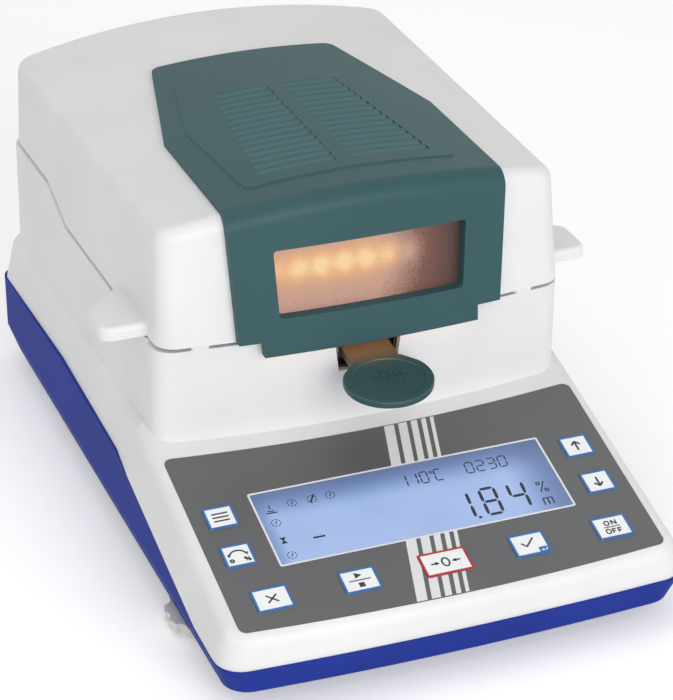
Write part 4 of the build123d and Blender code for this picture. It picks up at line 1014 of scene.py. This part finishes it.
@dataclass
class ControlPanel:
    """The foil, the keys with their printed frames and signs, and the lit display.

    Attributes:
        side_x: the side keys' place across in mm.
        side_down: the side keys' places down in mm.
        row_down: the lower row's place down in mm.
        row_step: spacing of the lower row in mm.
        side_key: half width and half height of a side key in mm.
        row_key: the same of a key in the lower row.
        middle_key: the same of the row's middle key.
        frame_line: width of the keys' printed frames in mm.
        frame_overhang: how far a frame stands over its cap's side in mm.
        frame_depth: how far a frame reaches down that side in mm.
        corner: radius of the printed frames' corners in mm.
        sign_line: width of the signs' lines in mm.
        display_half: half width of the display in mm.
        display_down: upper and lower edge of the display, down the slope, in mm.
        border: width of the pale line round the display in mm.
        border_gap: space between that line and the display in mm.
        foil_half: half width of the foil in mm.
        foil_down: length of the foil at its sides in mm.
        top_dip: how far the foil's upper edge dips in its middle in mm.
        lower_bulge: how far its lower edge bulges in its middle in mm.
        stripe_edges: left and right edges of the slanted stripes at the top, in mm.
        stripe_top: where those edges are measured, down the slope, in mm.
        stripe_lean: how far the stripes move left for each mm down.
        stripe_margin: space between a stripe's end and the foil's edge in mm.
        stripe_gap: space between a stripe and the middle key in mm.
        display_margin: space between a stripe and the display in mm.
        tab_place: middle of the corner tab from its key's middle in mm.
        tab_half: half length of the tab in mm.
        tab_height: height of the tab in mm.
    """

    side_x: float = 79.2
    side_down: tuple[float, float] = (38.0, 60.0)
    row_down: float = 85.8
    row_step: float = 36.9
    side_key: tuple[float, float] = (6.2, 5.9)
    row_key: tuple[float, float] = (7.6, 6.0)
    middle_key: tuple[float, float] = (10.1, 6.2)
    frame_line: float = 0.95
    frame_overhang: float = 0.06
    frame_depth: float = 0.4
    corner: float = 0.5
    sign_line: float = 0.75
    display_half: float = 63.8
    display_down: tuple[float, float] = (29.3, 69.3)
    border: float = 0.9
    border_gap: float = 0.1
    foil_half: float = 91.7
    foil_down: float = 99.7
    top_dip: float = 4.9
    lower_bulge: float = 3.6
    stripe_edges: tuple[tuple[float, float], ...] = ((4.7, 9.2), (11.1, 15.0), (16.8, 19.7),
                                                     (21.6, 23.7), (25.6, 27.2))
    stripe_top: float = 4.4
    stripe_lean: float = 0.2417
    stripe_margin: float = 0.4
    stripe_gap: float = 0.25
    display_margin: float = 1.0
    tab_place: tuple[float, float] = (4.9, 4.1)
    tab_half: float = 2.2
    tab_height: float = 2.9

    def keys(self) -> list[tuple[Key, Sign]]:
        """Returns the nine keys with their signs."""
        left, right = -self.side_x, self.side_x
        upper, lower = self.side_down
        row, step = self.row_down, self.row_step
        return [
            (Key("menu", left, upper, self.side_key), Sign.LIST),
            (Key("unit", left, lower, self.side_key), Sign.CHANGE),
            (Key("up", right, upper, self.side_key), Sign.UP),
            (Key("down", right, lower, self.side_key), Sign.DOWN),
            (Key("escape", -2 * step, row, self.row_key), Sign.CROSS),
            (Key("start_stop", -step, row, self.row_key), Sign.RUN_HALT),
            (Key("tare", 0.0, row, self.middle_key), Sign.ZERO),
            (Key("enter", step, row, self.row_key), Sign.TICK),
            (Key("on_off", 2 * step, row, self.row_key), Sign.ON_OFF),
        ]

    def build(self) -> None:
        """Dresses the panel's nodes and prints its marks."""
        dress(GREY_FOIL, "control_foil")
        dress(BACKLIT_PANEL, "display_window")
        self.print_stripes()
        self.print_border()
        for key, sign in self.keys():
            self.print_key(key, sign)
        Readout().build()
        LOG.info("control panel: foil, nine keys, display")

    def print_stripes(self) -> None:
        """Prints the slanted stripes over and under the display, clear of the middle key.

        Each stripe's edges move left in step with the way down. Its ends follow the foil's bowed
        edges, each a parabola over the way across.
        """
        shell = Shell()
        top = self.display_down[0] - self.display_margin
        bottom = self.display_down[1] + self.display_margin
        reach = self.middle_key[1] + self.stripe_gap
        key_top, key_bottom = self.row_down - reach, self.row_down + reach
        key_side = -self.middle_key[0] - self.stripe_gap
        for number, edges in enumerate(self.stripe_edges):
            at_top = np.array(edges)
            dip = self.top_dip * (1 - (at_top / self.foil_half) ** 2)
            upper = dip + self.stripe_margin
            at_foot = at_top - self.stripe_lean * (self.foil_down - self.stripe_top)
            bulge = self.lower_bulge * (1 - (at_foot / self.foil_half) ** 2)
            lower = self.foil_down + bulge - self.stripe_margin
            runs = [(upper, np.full(2, top))]
            if number == 0:
                runs.append((np.full(2, bottom), lower))
            else:
                runs.append((np.full(2, bottom), np.full(2, key_top)))
                runs.append((np.full(2, key_bottom), lower))
            for start, end in runs:
                down = start + (end - start) * np.linspace(0, 1, 60)[:, None]
                across = at_top - self.stripe_lean * (down - self.stripe_top)
                if number == 0:
                    beside = (down[:, 1] > key_top) & (down[:, 1] < key_bottom)
                    clear = np.minimum(across[:, 1], key_side)
                    across[:, 1] = np.where(beside, clear, across[:, 1])
                DECK.band(shell, across[:, 0], across[:, 1], down)
        shell.piece("panel_stripes", WHITE_INK, "base", "key_cap")

    def print_border(self) -> None:
        """Prints the thin pale line round the display."""
        upper, lower = self.display_down
        out = self.border / 2 + self.border_gap
        half = (self.display_half + out, (lower - upper) / 2 + out)
        shell = Shell()
        DECK.ribbon(shell, rounded_loop((0.0, (upper + lower) / 2), half, self.corner, 4),
                    self.border, DECK.foil_face, closed=True)
        shell.piece("display_border", WHITE_INK, "base", "key_cap")

    def print_key(self, key: Key, sign: Sign) -> None:
        """Dresses one key and prints its frame and its sign.

        Args:
            key: the key.
            sign: its sign.
        """
        body = key.name + "_key"
        middle = key.name == "tare"
        slot = "tare_cap" if middle else "key_cap"
        dress(WHITE_CAP, "key_" + key.name)
        frame_shell = Shell()
        out = self.frame_overhang - self.frame_line / 2
        loop = rounded_loop((key.across, key.down), (key.half[0] + out, key.half[1] + out),
                            self.corner, 5)
        DECK.ribbon(frame_shell, loop, self.frame_line, DECK.key_face, closed=True,
                    under=self.frame_depth)
        frame_shell.piece("frame_" + key.name, RED_INK if middle else BLUE_INK, body, slot)
        pen = Pen((key.across, key.down), self.sign_line, DECK.key_face)
        self.draw(pen, sign)
        pen.shell.piece("sign_" + key.name, DARK_INK, body, slot)
        if sign is Sign.TICK:
            self.print_tab(key, body, slot)

    def draw(self, pen: Pen, sign: Sign) -> None:
        """Draws a sign; its places are in mm from the key's middle, across and down.

        Args:
            pen: the pen set on the key.
            sign: the sign.
        """
        if sign is Sign.LIST:
            for down in (-2.0, 0.0, 2.0):
                pen.line((-3.4, down), (3.4, down))
        elif sign is Sign.CHANGE:
            pen.curve((0.0, 0.0), (3.4, 2.6), 195, 345)
            pen.head((-3.9, 0.7), -100, 1.7)
            pen.head((3.9, 0.7), -80, 1.7)
            pen.curve((-3.3, 2.6), (0.7, 0.7))
            pen.line((2.3, 3.6), (4.1, 1.7), width=0.4)
            pen.curve((2.5, 2.1), (0.35, 0.35))
            pen.curve((3.9, 3.2), (0.35, 0.35))
        elif sign is Sign.CROSS:
            pen.line((-2.2, -2.0), (2.2, 2.0))
            pen.line((-2.2, 2.0), (2.2, -2.0))
        elif sign is Sign.RUN_HALT:
            pen.line((-4.6, 0.0), (4.6, 0.0), width=0.5)
            pen.head((1.6, -2.6), 0, 3.0)
            pen.line((-1.2, 2.6), (1.2, 2.6), width=2.4)
        elif sign is Sign.ZERO:
            pen.curve((0.0, 0.0), (1.5, 2.2))
            pen.line((-6.3, 0.0), (-3.8, 0.0))
            pen.line((6.3, 0.0), (3.8, 0.0))
            pen.head((-2.6, 0.0), 0, 1.9)
            pen.head((2.6, 0.0), 180, 1.9)
        elif sign is Sign.TICK:
            pen.line((-3.4, -1.0), (-1.5, 1.2))
            pen.line((-1.7, 1.2), (2.4, -3.0))
        elif sign is Sign.ON_OFF:
            pen.width = 0.6
            pen.line((-3.6, 0.0), (3.6, 0.0), width=0.45)
            pen.curve((-1.5, -2.2), (1.0, 1.2))
            pen.line((0.7, -1.0), (0.7, -3.5))
            pen.line((0.7, -3.4), (2.6, -1.1))
            pen.line((2.6, -1.0), (2.6, -3.5))
            pen.curve((-2.4, 2.3), (1.0, 1.2))
            for left in (-0.5, 2.0):
                pen.line((left, 3.6), (left, 1.0))
                pen.line((left, 1.3), (left + 1.6, 1.3))
                pen.line((left, 2.4), (left + 1.3, 2.4))
        else:
            way = -1 if sign is Sign.UP else 1
            pen.width = 0.9
            pen.line((0.0, -way * 2.6), (0.0, way * 2.3))
            pen.line((-1.9, way * 0.6), (0.0, way * 2.6))
            pen.line((1.9, way * 0.6), (0.0, way * 2.6))

    def print_tab(self, key: Key, body: str, slot: str) -> None:
        """Prints the blue corner tab with its pale return arrow, each a film over the last.

        Args:
            key: the key that carries it.
            body: the key's body.
            slot: the key's material slot.
        """
        middle = (key.across + self.tab_place[0], key.down + self.tab_place[1])
        tab = Pen(middle, self.tab_height, DECK.key_face + 0.02)
        tab.line((-self.tab_half, 0.0), (self.tab_half, 0.0))
        tab.shell.piece("tab_" + key.name, BLUE_INK, body, slot)
        arrow = Pen(middle, 0.4, DECK.key_face + 0.06)
        arrow.stroke(np.array([[1.2, -0.9], [1.2, 0.3], [1.15, 0.35], [-0.6, 0.35]]))
        arrow.stroke(np.array([[-1.5, 0.35], [-1.0, 0.35], [-0.5, 0.35]]),
                     np.array([0.05, 0.7, 1.3]))
        arrow.shell.piece("tab_arrow_" + key.name, WHITE_INK, body, slot)


SEGMENTS = {"0": "abcdef", "1": "bc", "2": "abged", "3": "abgcd", "4": "fgbc", "8": "abcdefg",
            "C": "afed"}


@dataclass(frozen=True)
class FigureRow:
    """A row of seven-segment figures.

    Attributes:
        figures: each figure with its left edge in mm.
        foot: the figures' lower edge down the slope in mm.
        size: a figure's width and height in mm.
        line: the segments' width in mm.
    """

    figures: tuple[tuple[str, float], ...]
    foot: float
    size: tuple[float, float]
    line: float


@dataclass
class Readout:
    """The display's segments: figures, unit signs and the small icons.

    Attributes:
        lean: how far a figure's top leans right for each mm of height.
        reading: the large figures.
        level: the small figures of the heat.
        clock: the small figures of the time.
        dials: middles of the small dashed rings in mm.
        dial_radius: their radius in mm.
        dashes: dashes in each ring.
        dash_turn: degrees of a whole turn that the dashes cover.
    """

    lean: float = 0.07
    reading: FigureRow = FigureRow((("1", 14.7), ("8", 26.9), ("4", 39.4)), 66.4, (7.9, 16.0), 1.45)
    level: FigureRow = FigureRow((("1", -1.8), ("1", 2.9), ("0", 7.6), ("C", 14.0)), 41.7,
                                 (3.7, 6.9), 0.6)
    clock: FigureRow = FigureRow((("0", 28.0), ("2", 32.9), ("3", 38.0), ("0", 42.9)), 41.2,
                                 (3.9, 6.6), 0.6)
    dials: tuple[tuple[float, float], ...] = ((-48.4, 37.6), (-39.7, 37.7), (-31.7, 37.5),
                                              (-58.4, 46.7), (-58.2, 65.5))
    dial_radius: float = 1.9
    dashes: int = 8
    dash_turn: float = 230.0

    def figures(self, pen: Pen, row: FigureRow) -> None:
        """Draws a row of figures: each segment a line that narrows at its two ends.

        Args:
            pen: the pen.
            row: the row.
        """
        line = row.line
        wide, high = row.size[0] - line, row.size[1] - line
        corners = {"tl": (0, high), "tr": (wide, high), "ml": (0, high / 2),
                   "mr": (wide, high / 2), "bl": (0, 0), "br": (wide, 0)}
        ends = {"a": ("tl", "tr"), "b": ("tr", "mr"), "c": ("mr", "br"), "d": ("bl", "br"),
                "e": ("ml", "bl"), "f": ("tl", "ml"), "g": ("ml", "mr")}
        taper = np.array([0.15, 0.9, 1.0, 1.0, 0.9, 0.15]) * line
        steps = np.array([0.06, 0.16, 0.4, 0.6, 0.84, 0.94])[:, None]
        for text, left in row.figures:
            for name in SEGMENTS[text]:
                start, end = (np.array(corners[c], dtype=float) for c in ends[name])
                path = start + (end - start) * steps
                across = left + line / 2 + path[:, 0] + self.lean * path[:, 1]
                down = row.foot - line / 2 - path[:, 1]
                pen.stroke(np.stack([across, down], axis=-1), taper)

    def build(self) -> None:
        """Prints the figures with their signs, the small figures and the icons."""
        for name, draw in (("display_figures", self.draw_reading),
                           ("display_small_figures", self.draw_small_figures),
                           ("display_icons", self.draw_icons)):
            pen = Pen((0.0, 0.0), 0.6, DECK.foil_face)
            draw(pen)
            pen.shell.piece(name, SEGMENT_INK, "base", "display_body")

    def draw_reading(self, pen: Pen) -> None:
        """Draws the large figures, the point, the percent sign, the m, a dash and the hourglass.

        Args:
            pen: the pen.
        """
        self.figures(pen, self.reading)
        pen.line((22.9, 66.0), (24.2, 66.0), width=1.3)
        pen.curve((54.2, 54.2), (0.75, 0.75), count=21)
        pen.curve((56.6, 58.4), (0.75, 0.75), count=21)
        pen.line((53.7, 59.2), (57.0, 53.4))
        for left in (52.6, 54.6, 56.6):
            pen.line((left, 66.6), (left + 0.2, 63.0), width=0.65)
        pen.line((52.7, 62.9), (56.9, 62.9))
        pen.line((-46.7, 58.7), (-44.0, 58.7), (-41.6, 58.7), width=0.9)
        self.draw_hourglass(pen, (-58.8, 56.9))

    def draw_small_figures(self, pen: Pen) -> None:
        """Draws the heat with its degree ring, and the time.

        Args:
            pen: the pen.
        """
        self.figures(pen, self.level)
        pen.width = 0.4
        pen.curve((13.2, 36.2), (0.55, 0.55), count=21)
        self.figures(pen, self.clock)

    def draw_icons(self, pen: Pen) -> None:
        """Draws the dashed dials with their hands, a bar over one, and the small balance.

        Args:
            pen: the pen.
        """
        pen.width = 0.4
        radii = (self.dial_radius, self.dial_radius)
        for x, down in self.dials:
            for turn in np.linspace(0, 360, self.dashes, endpoint=False):
                pen.curve((x, down), radii, turn, turn + self.dash_turn / self.dashes, 6)
            pen.line((x - 0.3, down + 0.6), (x + 0.5, down - 0.9), width=0.5)
        pen.line((-41.0, 39.6), (-38.2, 35.4), width=0.7)
        pen.line((-60.6, 41.0), (-55.8, 41.0), width=0.6)
        pen.line((-59.7, 39.7), (-58.2, 40.2), (-56.8, 39.7), width=0.5)
        pen.line((-58.2, 36.6), (-58.2, 38.9), width=0.5)

    def draw_hourglass(self, pen: Pen, middle: tuple[float, float]) -> None:
        """Draws an hourglass: a line whose width falls to the waist and grows again.

        Args:
            pen: the pen.
            middle: its waist's place in mm.
        """
        down = np.linspace(-1.7, 1.7, 9)
        path = np.stack([np.full(9, middle[0]), middle[1] + down], axis=-1)
        pen.stroke(path, 0.5 + 1.3 * np.abs(down))


class Case:
    """The tray, the housing, the chamber's sheet parts and what shows behind and below."""

    def build(self) -> None:
        """Dresses the nodes of the base."""
        dress(BLUE_ABS, "base_tray")
        dress(WHITE_ABS, "upper_housing", "lid_rests")
        dress(STEEL, "chamber_liner", "pan_support", "dome_switches")
        dress(TURNED_STEEL, "guard_ring", "pan_ring")
        dress(PAN_FOIL, "sample_pan")
        dress(CELL_ALLOY, "weighing_cell", "load_receptor", "hinge_ears")
        dress(ZINC, "case_screws", "board_screws", "hinge_pins", "inlet_blades")
        dress(BLACK_ABS, "power_inlet", "usb_socket", "serial_socket", "lid_switch",
              "power_supply", "board_components", "display_module")
        dress(CIRCUIT, "main_board", "keypad_board")
        dress(RUBBER, "rear_foot_pads", "levelling_pad_left", "levelling_pad_right")
        dress(PALE_ABS, "levelling_screw_left", "levelling_screw_right")
        dress(GREY_ABS, "lid_plunger")
        dress(LEVEL_LIQUID, "spirit_level")
        LOG.info("case: tray, housing, weighing chamber, sockets, feet")


@dataclass(frozen=True)
class Leak:
    """Warm light that leaks from the chamber, as a small flat lamp.

    Attributes:
        name: the lamp's name.
        place: its middle in mm.
        size: its width and depth in mm.
        tilt: its turn about X in degrees, 0 to shine down.
        power: its power in W.
    """

    name: str
    place: tuple[float, float, float]
    size: tuple[float, float]
    tilt: float
    power: float


@dataclass
class Lid:
    """The lid with its hood, window, heater and straps.

    Attributes:
        lamp_rows: y of the two lamps in mm.
        lamp_height: the lamps' height in mm.
        coil_half: half length of a lamp's row of coils in mm.
        coil_radius: the coils' radius in mm.
        wire: the wire's radius in mm.
        turns: turns in each short coil.
        turn_steps: places worked out in each turn.
        coils: short coils in a row in each lamp.
        leaks: the light through the handle's notch and under the hood's lip.
        leak_colour: that light's colour.
    """

    lamp_rows: tuple[float, float] = (-36.0, 30.0)
    lamp_height: float = 121.0
    coil_half: float = 52.0
    coil_radius: float = 1.0
    wire: float = 0.18
    turns: int = 6
    turn_steps: int = 8
    coils: int = 9
    leaks: tuple[Leak, Leak] = (
        Leak("notch_glow", (0.0, -56.0, 103.0), (24.0, 5.0), -35.0, 0.00018),
        Leak("lip_glow", (0.0, -64.2, 101.2), (90.0, 1.2), 0.0, 0.0016))
    leak_colour: str = "#FFC8A0"

    def build(self) -> None:
        """Dresses the lid's nodes, winds the lamps' coils and lets their light leak out."""
        dress(WHITE_ABS, "lid_shell")
        dress(TEAL_POLYAMIDE, "hood_cover")
        # the window pane carries a painted glow of the lamps behind it
        dress(PAINTED_GLOW_PANE, "window_glass")
        dress(CLEAR_GLASS, "protective_glass")
        dress(STEEL, "heater_frame", "lamp_brackets", "temperature_sensor")
        dress(CERAMIC, "lamp_sockets", "lamp_caps")
        dress(QUARTZ, "lamp_tubes")
        dress(BRIGHT_ALLOY, "reflector")
        dress(CELL_ALLOY, "lid_straps")
        dress(TUNGSTEN, "lamp_filaments")
        self.wind_coils()
        self.light_leaks()
        LOG.info("lid: shell, hood, window, lamps")

    def wind_coils(self) -> None:
        """Winds the coils: a small round section carried along short helices and the leads between.

        Along X, the helix' radius swells as a cut-off sine in each coil and is nothing in a lead.
        """
        shell = Shell()
        steps = np.linspace(0, 1, self.coils * self.turns * self.turn_steps + 1)
        share = (steps * self.coils) % 1.0
        swell = np.clip(np.sin(np.pi * share) * 2.2, 0, 1) * self.coil_radius
        turn = steps * self.coils * self.turns * math.tau
        ring = np.linspace(0, math.tau, 5)[:-1]
        out = np.stack([np.zeros_like(turn), np.cos(turn), np.sin(turn)], axis=-1)
        along = np.array([1.0, 0.0, 0.0])
        section = self.wire * (np.cos(ring)[None, :, None] * out[:, None]
                               + np.sin(ring)[None, :, None] * along)
        for row in self.lamp_rows:
            x = -self.coil_half + 2 * self.coil_half * steps
            y = row + swell * np.cos(turn)
            z = self.lamp_height + swell * np.sin(turn)
            path = np.stack([x, y, z], axis=-1)
            shell.add_grid((path[:, None] + section) * MM, wrap_columns=True, caps=True)
        made = shell.piece("lamp_coils", TUNGSTEN, "lid", "filament", smooth=True)
        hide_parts("lamp_filaments")

    def light_leaks(self) -> None:
        """Hangs the warm lamps in the lid, so that they open with it."""
        for leak in self.leaks:
            data = bpy.data.lights.new(leak.name, "AREA")
            data.shape = "RECTANGLE"
            data.size, data.size_y = (side * MM for side in leak.size)
            data.color = linear(self.leak_colour)[:3]
            data.energy = leak.power
            lamp = put(leak.name, data)
            lamp.location = Vector(leak.place) * MM
            lamp.rotation_euler = (math.radians(leak.tilt), 0.0, 0.0)
            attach(lamp, "lid")


@dataclass
class PanHandle:
    """The lifting handle with the raised dots on its grip.

    Attributes:
        middle_y: y of the big dots' row in mm.
        face: height of the grip's face at that row in mm.
        fall: how much the face falls for each mm forward.
        big_x: places across of the big dots in mm.
        small_rows: y of the rows of small dots in mm.
        small_step: spacing of the small dots in mm.
        small_x: where the small rows start and end in mm.
        radii: radius of the big and of the small dots in mm.
    """

    middle_y: float = -83.4
    face: float = 93.3
    fall: float = 0.158
    big_x: tuple[float, ...] = (-4.7, -1.9, 0.9, 3.8, 6.6)
    small_rows: tuple[float, ...] = (-86.6, -89.2, -91.8)
    small_step: float = 2.6
    small_x: tuple[float, float] = (-5.4, 7.0)
    radii: tuple[float, float] = (0.7, 0.434)

    def build(self) -> None:
        """Dresses the handle and raises its dots, every other small row moved by half a step."""
        dress(TEAL_GRIP, "pan_handle")
        shell = Shell()
        for x in self.big_x:
            self.raise_dot(shell, x, self.middle_y, self.radii[0])
        for row, y in enumerate(self.small_rows):
            start = self.small_x[0] + self.small_step / 2 * (row % 2)
            for x in np.arange(start, self.small_x[1], self.small_step):
                self.raise_dot(shell, float(x), y, self.radii[1])
        shell.piece("grip_dots", TEAL_GRIP, "pan_carrier", "handle_plastic", smooth=True)
        LOG.info("pan handle: grip and dots")

    def raise_dot(self, shell: Shell, x: float, y: float, radius: float) -> None:
        """Raises one dot: a flat dome of four rings that rise as they shrink.

        Args:
            shell: the piece that takes it.
            x: its place across in mm.
            y: its place along in mm.
            radius: its radius in mm.
        """
        turn = np.linspace(0, math.tau, 9)[:-1]
        out = np.array([1.0, 0.75, 0.4, 0.02])[:, None]
        high = np.array([-0.5, 0.3, 0.6, 0.7])[:, None] * radius
        base = self.face + self.fall * (y - self.middle_y)
        grid = np.stack(np.broadcast_arrays(x + radius * out * np.cos(turn),
                                            y + radius * out * np.sin(turn), base + high), axis=-1)
        shell.add_grid(grid * MM, wrap_columns=True, caps=True)


@dataclass(frozen=True)
class Softbox:
    """A square softbox that faces the object.

    Attributes:
        name: the lamp's name.
        place: where it hangs in m.
        size: its side in m.
        power: its power in W.
    """

    name: str
    place: tuple[float, float, float]
    size: float
    power: float


@dataclass
class Studio:
    """The floor, the lamps, the world and the camera.

    Attributes:
        floor_radius: how far the floor reaches in m.
        paper: the floor's colour.
        floor_glow: how much the floor is lifted where it is seen, 1 for white.
        world_light: strength of the world's light on the object.
        softboxes: the lamps.
        lit_point: the point that the lamps face in m.
        azimuth: the camera's turn about Z in degrees.
        elevation: the camera's angle over the bench in degrees.
        roll: the camera's roll in degrees.
        distance: from the camera to the point it looks at, in m.
        target: the point it looks at in m.
        lens: the focal length in mm.
        sensor: the frame's width in mm.
    """

    floor_radius: float = 6.0
    paper: str = "#F2F2F2"
    floor_glow: float = 0.3
    world_light: float = 0.5
    softboxes: tuple[Softbox, ...] = (
        Softbox("key_softbox", (0.15, -2.15, 0.8), 1.4, 26.0),
        Softbox("fill_softbox", (-1.8, -0.7, 0.7), 1.4, 4.5),
        Softbox("top_softbox", (-0.4, 0.3, 2.1), 1.5, 7.0))
    lit_point: tuple[float, float, float] = (0.0, 0.0, 0.08)
    azimuth: float = -20.863
    elevation: float = 27.887
    roll: float = -0.261
    distance: float = 1.2033
    target: tuple[float, float, float] = (0.00725, -0.0055, 0.06448)
    lens: float = 140.77
    sensor: float = 36.0

    def build(self) -> None:
        """Lays the floor, hangs the lamps and sets the camera."""
        self.lay_floor()
        self.light_world()
        for softbox in self.softboxes:
            self.hang(softbox)
        self.set_camera()
        LOG.info("studio: floor, three softboxes, camera")

    def lay_floor(self) -> None:
        """Lays a round floor: rings of points, each ring's radius the square of its step."""
        ring = np.linspace(0, 1, 24)[:, None] ** 2 * self.floor_radius + MM
        turn = np.linspace(0, math.tau, 65)[:-1]
        shell = Shell()
        shell.add_grid(np.stack(np.broadcast_arrays(ring * np.cos(turn), ring * np.sin(turn), 0.0),
                                axis=-1), wrap_columns=True)
        made = bpy.data.materials.new("white paper floor")
        tree = empty_tree(made)
        glow = add_node(tree, "Math", (self.seen(tree), self.floor_glow), operation="MULTIPLY")
        shader = add_node(tree, "BsdfPrincipled",
                          {"Base Color": linear(self.paper), "Roughness": 0.9,
                           "Emission Color": linear(WHITE), "Emission Strength": glow})
        add_node(tree, "OutputMaterial", {"Surface": shader})
        put("studio_floor", shell.mesh("studio_floor", made))

    @staticmethod
    def seen(tree: bpy.types.NodeTree) -> bpy.types.Node:
        """Adds nodes that give 1 where the camera looks, directly, through glass or mirrored.

        Args:
            tree: the node tree that takes them.

        Returns:
            The node with that value; for other rays it gives 0.
        """
        path = add_node(tree, "LightPath").outputs
        seen_in = add_node(tree, "Math", (path["Is Glossy Ray"], path["Is Transmission Ray"]),
                           operation="MAXIMUM")
        return add_node(tree, "Math", (path["Is Camera Ray"], seen_in), operation="MAXIMUM")

    def light_world(self) -> None:
        """Lights the world softly, and shows it white where it is seen."""
        world = bpy.data.worlds.new("studio")
        bpy.context.scene.world = world
        tree = empty_tree(world)
        level = add_node(tree, "Math", (self.seen(tree), 1 - self.world_light, self.world_light),
                         operation="MULTIPLY_ADD")
        back = add_node(tree, "Background", {"Color": linear(WHITE), "Strength": level})
        add_node(tree, "OutputWorld", {"Surface": back})

    def hang(self, softbox: Softbox) -> None:
        """Hangs a softbox and turns it to the object.

        Args:
            softbox: the softbox.
        """
        data = bpy.data.lights.new(softbox.name, "AREA")
        data.size = softbox.size
        data.energy = softbox.power
        lamp = put(softbox.name, data)
        lamp.location = softbox.place
        aim = Vector(self.lit_point) - Vector(softbox.place)
        lamp.rotation_euler = aim.to_track_quat("-Z", "Y").to_euler()

    def set_camera(self) -> None:
        """Sets the camera at the angle, distance and lens that were worked out for the picture."""
        a, e, r = (math.radians(v) for v in (self.azimuth, self.elevation, self.roll))
        back = Vector((math.sin(a) * math.cos(e), -math.cos(a) * math.cos(e), math.sin(e)))
        right = back.cross(Vector((0.0, 0.0, -1.0))).normalized()
        up = back.cross(right)
        right, up = (math.cos(r) * right + math.sin(r) * up,
                     -math.sin(r) * right + math.cos(r) * up)
        data = bpy.data.cameras.new("camera")
        data.lens = self.lens
        data.sensor_width = self.sensor
        data.clip_end = 50.0
        camera = put("camera", data)
        turn = Matrix((right, up, back)).transposed().to_4x4()
        place = Vector(self.target) + back * self.distance
        camera.matrix_world = Matrix.Translation(place) @ turn
        bpy.context.scene.camera = camera


def main() -> None:
    """Builds the sub-assemblies in order."""
    logging.basicConfig(level=logging.INFO)
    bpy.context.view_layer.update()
    bpy.context.scene.view_settings.view_transform = "Standard"
    for part in (Studio(), Case(), Lid(), PanHandle(), ControlPanel()):
        part.build()


if __name__ == "__main__":
    main()
